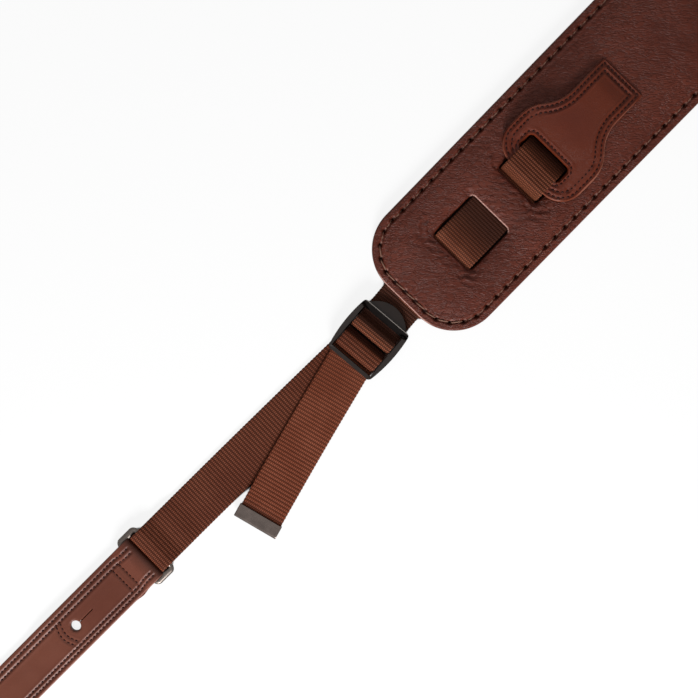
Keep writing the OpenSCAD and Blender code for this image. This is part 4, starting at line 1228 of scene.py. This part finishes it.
# ---------------------------------------------------------------- ladder buckle
FRAME_LOW, FRAME_TOP, RIDGE_TOP, SLOPE_FOOT = 3.1, 7.5, 7.7, 4.0
OPENING_HALF, RAIL_FRONT, RAIL_REAR, RAIL_BOW, CORNER_IN = 15.7, 1.0, 2.2, 1.9, 2.0
BAR_LOW, BAR_TOP, TAB_R = 3.2, 5.6, 18.0


def bar(name, x0, x1):
    """A rounded bar across the buckle."""
    deselect()
    bpy.ops.mesh.primitive_cube_add(size=1)
    piece = bpy.context.object
    piece.name = name
    p = points_of(piece)
    set_points(piece, np.stack([(x0 + x1) / 2 + p[:, 0] * (x1 - x0), p[:, 1] * 2 * (OPENING_HALF + 0.5),
                                (BAR_LOW + BAR_TOP) / 2 + p[:, 2] * (BAR_TOP - BAR_LOW)], 1))
    modify(piece, "BEVEL", width=0.7, segments=4, limit_method="ANGLE")
    set_points(piece, in_buckle(points_of(piece)))
    paint(piece, BUCKLE_PLASTIC)
    smooth(piece)
    return piece


def ease_edges(piece, width, angle):
    """Rounds the edges of a moulding, and puts it where the buckle is."""
    modify(piece, "BEVEL", width=width, segments=3, limit_method="ANGLE", angle_limit=math.radians(angle))
    set_points(piece, in_buckle(points_of(piece)))
    smooth(piece, 50)


def buckle_frame():
    """The moulded frame: two bowed rails, the plain bar, and the thick bar that slopes up to its ridge."""
    def rail(x):
        f = (x - PLAIN_BAR[0]) / (THICK_BAR[1] - PLAIN_BAR[0])
        out = OPENING_HALF + RAIL_FRONT + (RAIL_REAR - RAIL_FRONT) * f + RAIL_BOW * (1 - (2 * f - 1) ** 2)
        into = np.clip(CORNER_IN - np.minimum(x - PLAIN_BAR[0], THICK_BAR[1] - x), 0, CORNER_IN)
        return out - CORNER_IN + np.sqrt(CORNER_IN ** 2 - into ** 2)
    core = OPENING_HALF / 18.0
    mid = (1 + core) / 2
    ts = np.array([-1, -mid, *np.linspace(-core, core, 9), mid, 1])
    xs = graded([*PLAIN_BAR, *THICK_BAR], 0.35, 3.2, 0.5)
    opening = box_distance(PLAIN_BAR[1], THICK_BAR[0], -OPENING_HALF, OPENING_HALF, 0.0)

    def top(x, y):
        side = np.abs(y) > OPENING_HALF - 0.1
        plain = FRAME_TOP - 0.9 + 0.5 * ease((x - PLAIN_BAR[0]) / 4)
        up = np.clip((x - THICK_BAR[0]) / (THICK_BAR[1] - THICK_BAR[0]), 0, 1)
        middle = np.where(x < 0, plain, SLOPE_FOOT + (RIDGE_TOP - SLOPE_FOOT) * up)
        return np.where(side & (x > PLAIN_BAR[1] - 1) & (x < THICK_BAR[0] + 1), FRAME_TOP, middle)
    body = sheet("buckle_body", xs, ts, lambda x, t: cored(t, core, OPENING_HALF, rail(x)), [opening], top,
                 lambda x, y: np.full(len(x), FRAME_LOW), lambda p: p, BUCKLE_PLASTIC)
    ease_edges(body, 0.55, 35)
    return body


def lift_tab():
    """A half-round plate that slopes away from the ridge."""
    chord = lambda x: np.sqrt(np.maximum(TAB_R ** 2 - (x - TAB_TIP + TAB_R) ** 2, 0.5))
    xs = THICK_BAR[1] + np.array([-0.6, 0.6, 1.4, 2.2, 3.0, 3.8, 4.6, 5.3, 5.9, 6.4, 6.8, 7.1, 7.35, 7.5])
    out = lambda x: (x - THICK_BAR[1]) / (TAB_TIP - THICK_BAR[1])
    tab = sheet("lift_tab", xs, np.linspace(-1, 1, 21),
                lambda x, t: t * np.minimum(OPENING_HALF - 1, chord(x)), [], lambda x, y: 6.9 - 1.5 * out(x),
                lambda x, y: 4.6 - 1.3 * out(x), lambda p: p, BUCKLE_PLASTIC)
    ease_edges(tab, 0.4, 40)
    return tab


def make_buckle():
    parts = [buckle_frame(), bar("loop_bar", *LOOP_BAR), bar("hold_bar", *HOLD_BAR), lift_tab()]
    whole = join("ladder_buckle", parts)
    paint(whole, BUCKLE_PLASTIC, BUCKLE_PAINTED_SHADE, BUCKLE_PAINTED_HIGHLIGHT)
    # painted shade on the thick bar's inner slope, and a painted highlight along its ridge, as separate
    # materials
    x, _, level = taken_back(points_of(whole), BUCKLE_AT, BUCKLE_YAW)
    for face in whole.data.polygons:
        ids = list(face.vertices)
        at, up = x[ids].mean(), level[ids].mean()
        inner = THICK_BAR[0] - 0.5 < at < THICK_BAR[1] - 0.3 and face.normal.x < -0.3 * abs(face.normal.y)
        ridge = abs(at - THICK_BAR[1] + 0.1) < 0.45 and up > RIDGE_TOP - 0.7 and face.normal.z > 0.3
        face.material_index = 2 if ridge else 1 if inner and up < RIDGE_TOP else 0
    finish_piece(whole, "buckle", "buckle_plastic", "buckle")


def make_buckle_webbing():
    over, side = 6.4, 0.8
    x0, x1 = LOOP_BAR
    path = [(TAB_TIP + 9.5, LAYER_2, 0), (x1 + side + 1.2, LAYER_2, 2.2), (x1 + side, 5.2, 2.0),
            (x1 - 0.4, over + 0.6, 2.0), (x0 + 0.6, over + 0.5, 2.0), (x0 - side, 5.0, 1.6),
            (x0 - side, LAYER_1, 1.4), (TAB_TIP + 9.5, LAYER_1, 0)]
    loop = pad_strap("buckle_webbing_loop", path, in_buckle)
    x, _, _ = taken_back(points_of(loop), BUCKLE_AT, BUCKLE_YAW)
    # painted shadow on the loop past the loop bar, and under the lift tab out to the pad
    store(loop, "painted_shadow", np.where(x < THICK_BAR[1], 0.85 * ease((x + 0.4) / 2.4), 0.8))
    finish_blend(loop, ("buckle", "pad"), on_line, [(FRONT_X - 6.0, 0, 1.55), (FRONT_X - 0.2, 0, 1.55)],
                 "buckle_loop_webbing", "pad_webbing_bend")
    low_x = x0 - 2.35
    x0, x1 = HOLD_BAR
    path = [(x1 - 6, LAYER_1, 0), (low_x, LAYER_1, 1.0), (x1 + side + 0.5, 4.4, 2.0),
            (x1 - 0.6, over + 0.3, 2.2), (x0 + 0.8, over + 0.3, 2.2), (x0 - side, 4.8, 1.4),
            (x0 - side - 0.4, LAYER_2, 1.2), (PLAIN_BAR[0] - 0.5, LAYER_2, 0)]
    turn = strap("adjuster_webbing_turn", path, in_buckle, WEBBING)
    x, _, _ = taken_back(points_of(turn), BUCKLE_AT, BUCKLE_YAW)
    # painted shadow on the turn in the middle slot, past the hold bar
    store(turn, "painted_shadow", 0.85 * ease((x - x1 + 0.2) / 1.6))
    finish_piece(turn, "buckle", "webbing", "adjuster_turn")


# ---------------------------------------------------------------- adjustable webbing, clip and ring
TAIL_W = WEB_W - 1.0  # drawn a little narrow where it hangs free
TAIL_END_Z = LAYER_2 + 1.05  # its clip slides clear over the webbing below


def bowed(put, p, length, lean, bow):
    """Puts points in a frame with the gentle sideways bow that the webbing takes."""
    return put(p + np.outer(lean + bow * np.sin(math.pi * np.clip(p[:, 0] / length, 0, 1)), (0, 1, 0)))


def along_tail(p):
    return bowed(in_tail, p, -TAIL_L, 0.5, 0.5)


def make_adjuster():
    over, under, r = ring_loop(WEB_T)
    tip = -3.1 - r
    path = [(20, under, 0), (tip, under, r), (tip, over, r), (2, over, 6), (12, LAYER_2 + 0.2, 12),
            (21, LAYER_2, 14), (31, LAYER_1, 20), (STRAND_L - 30, LAYER_1, 0), (STRAND_L + 14, LAYER_1, 0)]
    strand = strap("adjuster_webbing_strand", path, lambda p: bowed(in_strand, p, STRAND_L, 0, 0.4), WEBBING)
    finish_blend(strand, ("adjuster", "buckle"), in_strand, [(32.0, 0, 1), (STRAND_L - 2, 0, 1)],
                 "adjuster_strand", "adjuster_ring_loop")

    path = [(-TAIL_L + 1.6, TAIL_END_Z, 0), (-TAIL_L + 12, TAIL_END_Z, 60), (-TAIL_L * 0.5, LAYER_2, 60),
            (2.5, LAYER_2, 0)]
    tail = strap("tail_webbing", path, along_tail, TAIL_WEBBING, width=TAIL_W)
    reach = taken_back(points_of(tail), TAIL_AT, TAIL_YAW)[0]
    # painted shadow on the tail's last stretch, by the clip
    store(tail, "painted_shadow", 0.5 * ease((16.0 - TAIL_L - reach) / 8))
    finish_blend(tail, ("buckle", "tail"), in_tail, [(-2.0, 0, LAYER_2), (-TAIL_L + 10, 0, LAYER_2)],
                 "tail_strand")


def make_clip():
    """The folded clip on the tail's end, with a slightly crowned face."""
    t, r, mid, crown = 0.8, 1.25, TAIL_END_Z, 0.35
    x0, x1 = -TAIL_L + t / 2, -TAIL_L + 9
    path = [(x1, mid + r, 0), (x0, mid + r, r - 0.05), (x0, mid - r, r - 0.05), (x1, mid - r, 0)]
    clip = strap("tail_end_clip", path, along_tail, CLIP_METAL, width=TAIL_W + 1.4, pitch=2.0, rib=0.0,
                 thickness=t, scallop=0.0)
    p = points_of(clip)
    reach, _, z = taken_back(p, TAIL_AT, TAIL_YAW)
    p[:, 2] += crown * MM * (1 - np.clip((reach + TAIL_L - 4.5) / 4.5, -1, 1) ** 2) * (z > mid)
    set_points(clip, p)
    finish_piece(clip, "tail", "clip_metal", "tail_clip")


def make_ring():
    half_w, pitch = WEB_W / 2 + 0.6 + ROD_R, float(np.linalg.norm((END_AT - RING_AT)[:2]))
    deselect()
    bpy.ops.mesh.primitive_plane_add(size=1)
    ring = bpy.context.object
    ring.name = ring.data.name = "ring_rod"
    p = points_of(ring)
    set_points(ring, np.stack([-pitch / 2 + p[:, 0] * pitch, p[:, 1] * 2 * half_w, p[:, 2] + BAR_Z], 1))
    select(ring, "vertices", True)
    edit(ring, bpy.ops.mesh.bevel, offset=2.3, segments=6, affect="VERTICES")
    select(ring, "polygons", True)
    edit(ring, bpy.ops.mesh.delete, type="ONLY_FACE")
    take(ring)
    bpy.ops.object.convert(target="CURVE")
    ring = bpy.context.object
    ring.data.bevel_depth, ring.data.bevel_resolution = ROD_R, 5
    bpy.ops.object.convert(target="MESH")
    ring = bpy.context.object
    select(ring, "vertices", True)
    edit(ring, bpy.ops.mesh.remove_doubles, threshold=0.001)
    # the side bars are flatter and broader than the bars that the loops go round
    p = points_of(ring)
    out = np.abs(p[:, 1]) - half_w
    side = ease((np.abs(p[:, 1]) - half_w + ROD_R + 0.3) / 0.6)
    p[:, 1] += np.sign(p[:, 1]) * side * (0.32 * out - 0.2)
    p[:, 2] = BAR_Z + (p[:, 2] - BAR_Z) * (1 - 0.12 * side)
    set_points(ring, in_ring(p))
    paint(ring, RING_METAL)
    take(ring)
    bpy.ops.object.shade_smooth()
    finish_piece(ring, "ring", "ring_metal", "ring")


# ---------------------------------------------------------------- floor, light and camera
CAMERA_AT = (-0.2593, 0.0024, 1.0)
CAMERA_TURN = (-0.06114, 0.06054, -0.79976)
CAMERA_LENS = 82.24
LOOK_AT = Vector((-0.30, 0.0, 0.0))
KEY_AT = (-1.05, -0.68, 0.50)
FILL = 0.28


def make_floor():
    """A plain white floor, with painted shade where an occlusion test finds narrow gaps and ground under the
    object.
    """
    deselect()
    bpy.ops.mesh.primitive_plane_add(size=60, location=(0, 0, -0.0004))
    bpy.ops.object.transform_apply(location=True)
    floor = bpy.context.object
    floor.name = "floor"
    m, tree, shader = material("floor_white")
    shader.inputs["Roughness"].default_value = 0.9
    shader.inputs["Specular IOR Level"].default_value = 0.0
    open_sky = add(tree, "AmbientOcclusion", None, 0.02, samples=64)
    tree.links.new(blend_colour(tree, ramp(tree, open_sky.outputs["AO"], 0.28, 0.44), (0.02, 0.012, 0.01),
                                (0.8, 0.8, 0.8)), shader.inputs["Base Color"])
    glow = add(tree, "Emission", (1, 1, 1, 1), 1.0)
    # painted light: under the near button hole the floor glows as bright as it is beside the strap
    hole = in_end(np.array([[NEAR_HOLE, 0, 0]]))[0]
    away = add(tree, "VectorMath", own_place(tree), (hole[0], hole[1], 0), operation="DISTANCE")
    through = calc(tree, "LESS_THAN", away.outputs["Value"], 1.1 * BUTTON_R * MM)
    bright = calc(tree, "MAXIMUM", ramp(tree, open_sky.outputs["AO"], 0.34, 0.46), through)
    share = calc(tree, "MULTIPLY", seen_ray(tree), bright)
    mix = add(tree, "MixShader", calc(tree, "MULTIPLY", share, 0.86), shader.outputs[0], glow.outputs[0])
    tree.links.new(mix.outputs[0], tree.nodes["Material Output"].inputs["Surface"])
    paint(floor, m)
    floor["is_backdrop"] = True


def seen_ray(tree):
    """1 for a ray that shows the white surroundings, 0 for one that only carries their light."""
    ray = add(tree, "LightPath")
    return calc(tree, "MAXIMUM", ray.outputs["Is Camera Ray"],
                calc(tree, "MAXIMUM", ray.outputs["Is Glossy Ray"], ray.outputs["Is Transmission Ray"]))


def show(data):
    """Puts a lamp or camera in the scene."""
    shown = bpy.data.objects.new(data.name, data)
    bpy.context.scene.collection.objects.link(shown)
    return shown


def area_light(name, where, size, power):
    data = bpy.data.lights.new(name, "AREA")
    data.shape, data.size, data.energy = "DISK", size, power
    lamp = show(data)
    lamp.location = where
    lamp.rotation_euler = (LOOK_AT - Vector(where)).to_track_quat("-Z", "Y").to_euler()


def make_light():
    scene = bpy.context.scene
    world = bpy.data.worlds.new("studio")
    scene.world = world
    world.use_nodes = True
    tree = world.node_tree
    sky = tree.nodes["Background"]
    sky.inputs["Color"].default_value = (1, 1, 1, 1)
    tree.links.new(between(tree, seen_ray(tree), FILL, 1.0), sky.inputs["Strength"])
    area_light("key", KEY_AT, 0.42, 23)
    area_light("top", (-0.35, 0.25, 1.5), 0.9, 3)
    scene.view_settings.view_transform = "Standard"


def make_camera():
    data = bpy.data.cameras.new("camera")
    data.sensor_width, data.lens = 36.0, CAMERA_LENS
    data.clip_start, data.clip_end = 0.05, 20.0
    camera = show(data)
    camera.location, camera.rotation_euler = CAMERA_AT, CAMERA_TURN
    bpy.context.scene.camera = camera


def paint_nodes():
    """Finishes for the CAD nodes that stay: the seams of the webbing."""
    for name in ("pad_webbing_stitching", "adjuster_stitching"):
        paint(frame["nodes"][name], DARK_THREAD)


for make in (make_camera, make_floor, make_light, make_pad, make_toggle, make_pad_webbing, make_tongue,
             make_buckle, make_buckle_webbing, make_adjuster, make_clip, make_ring, make_leather_end,
             paint_nodes):
    make()


def plain(bounds):
    return [[float(v) for v in corner] for corner in bounds]


{"cad": plain(cad_bounds), "visual": plain(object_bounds())}
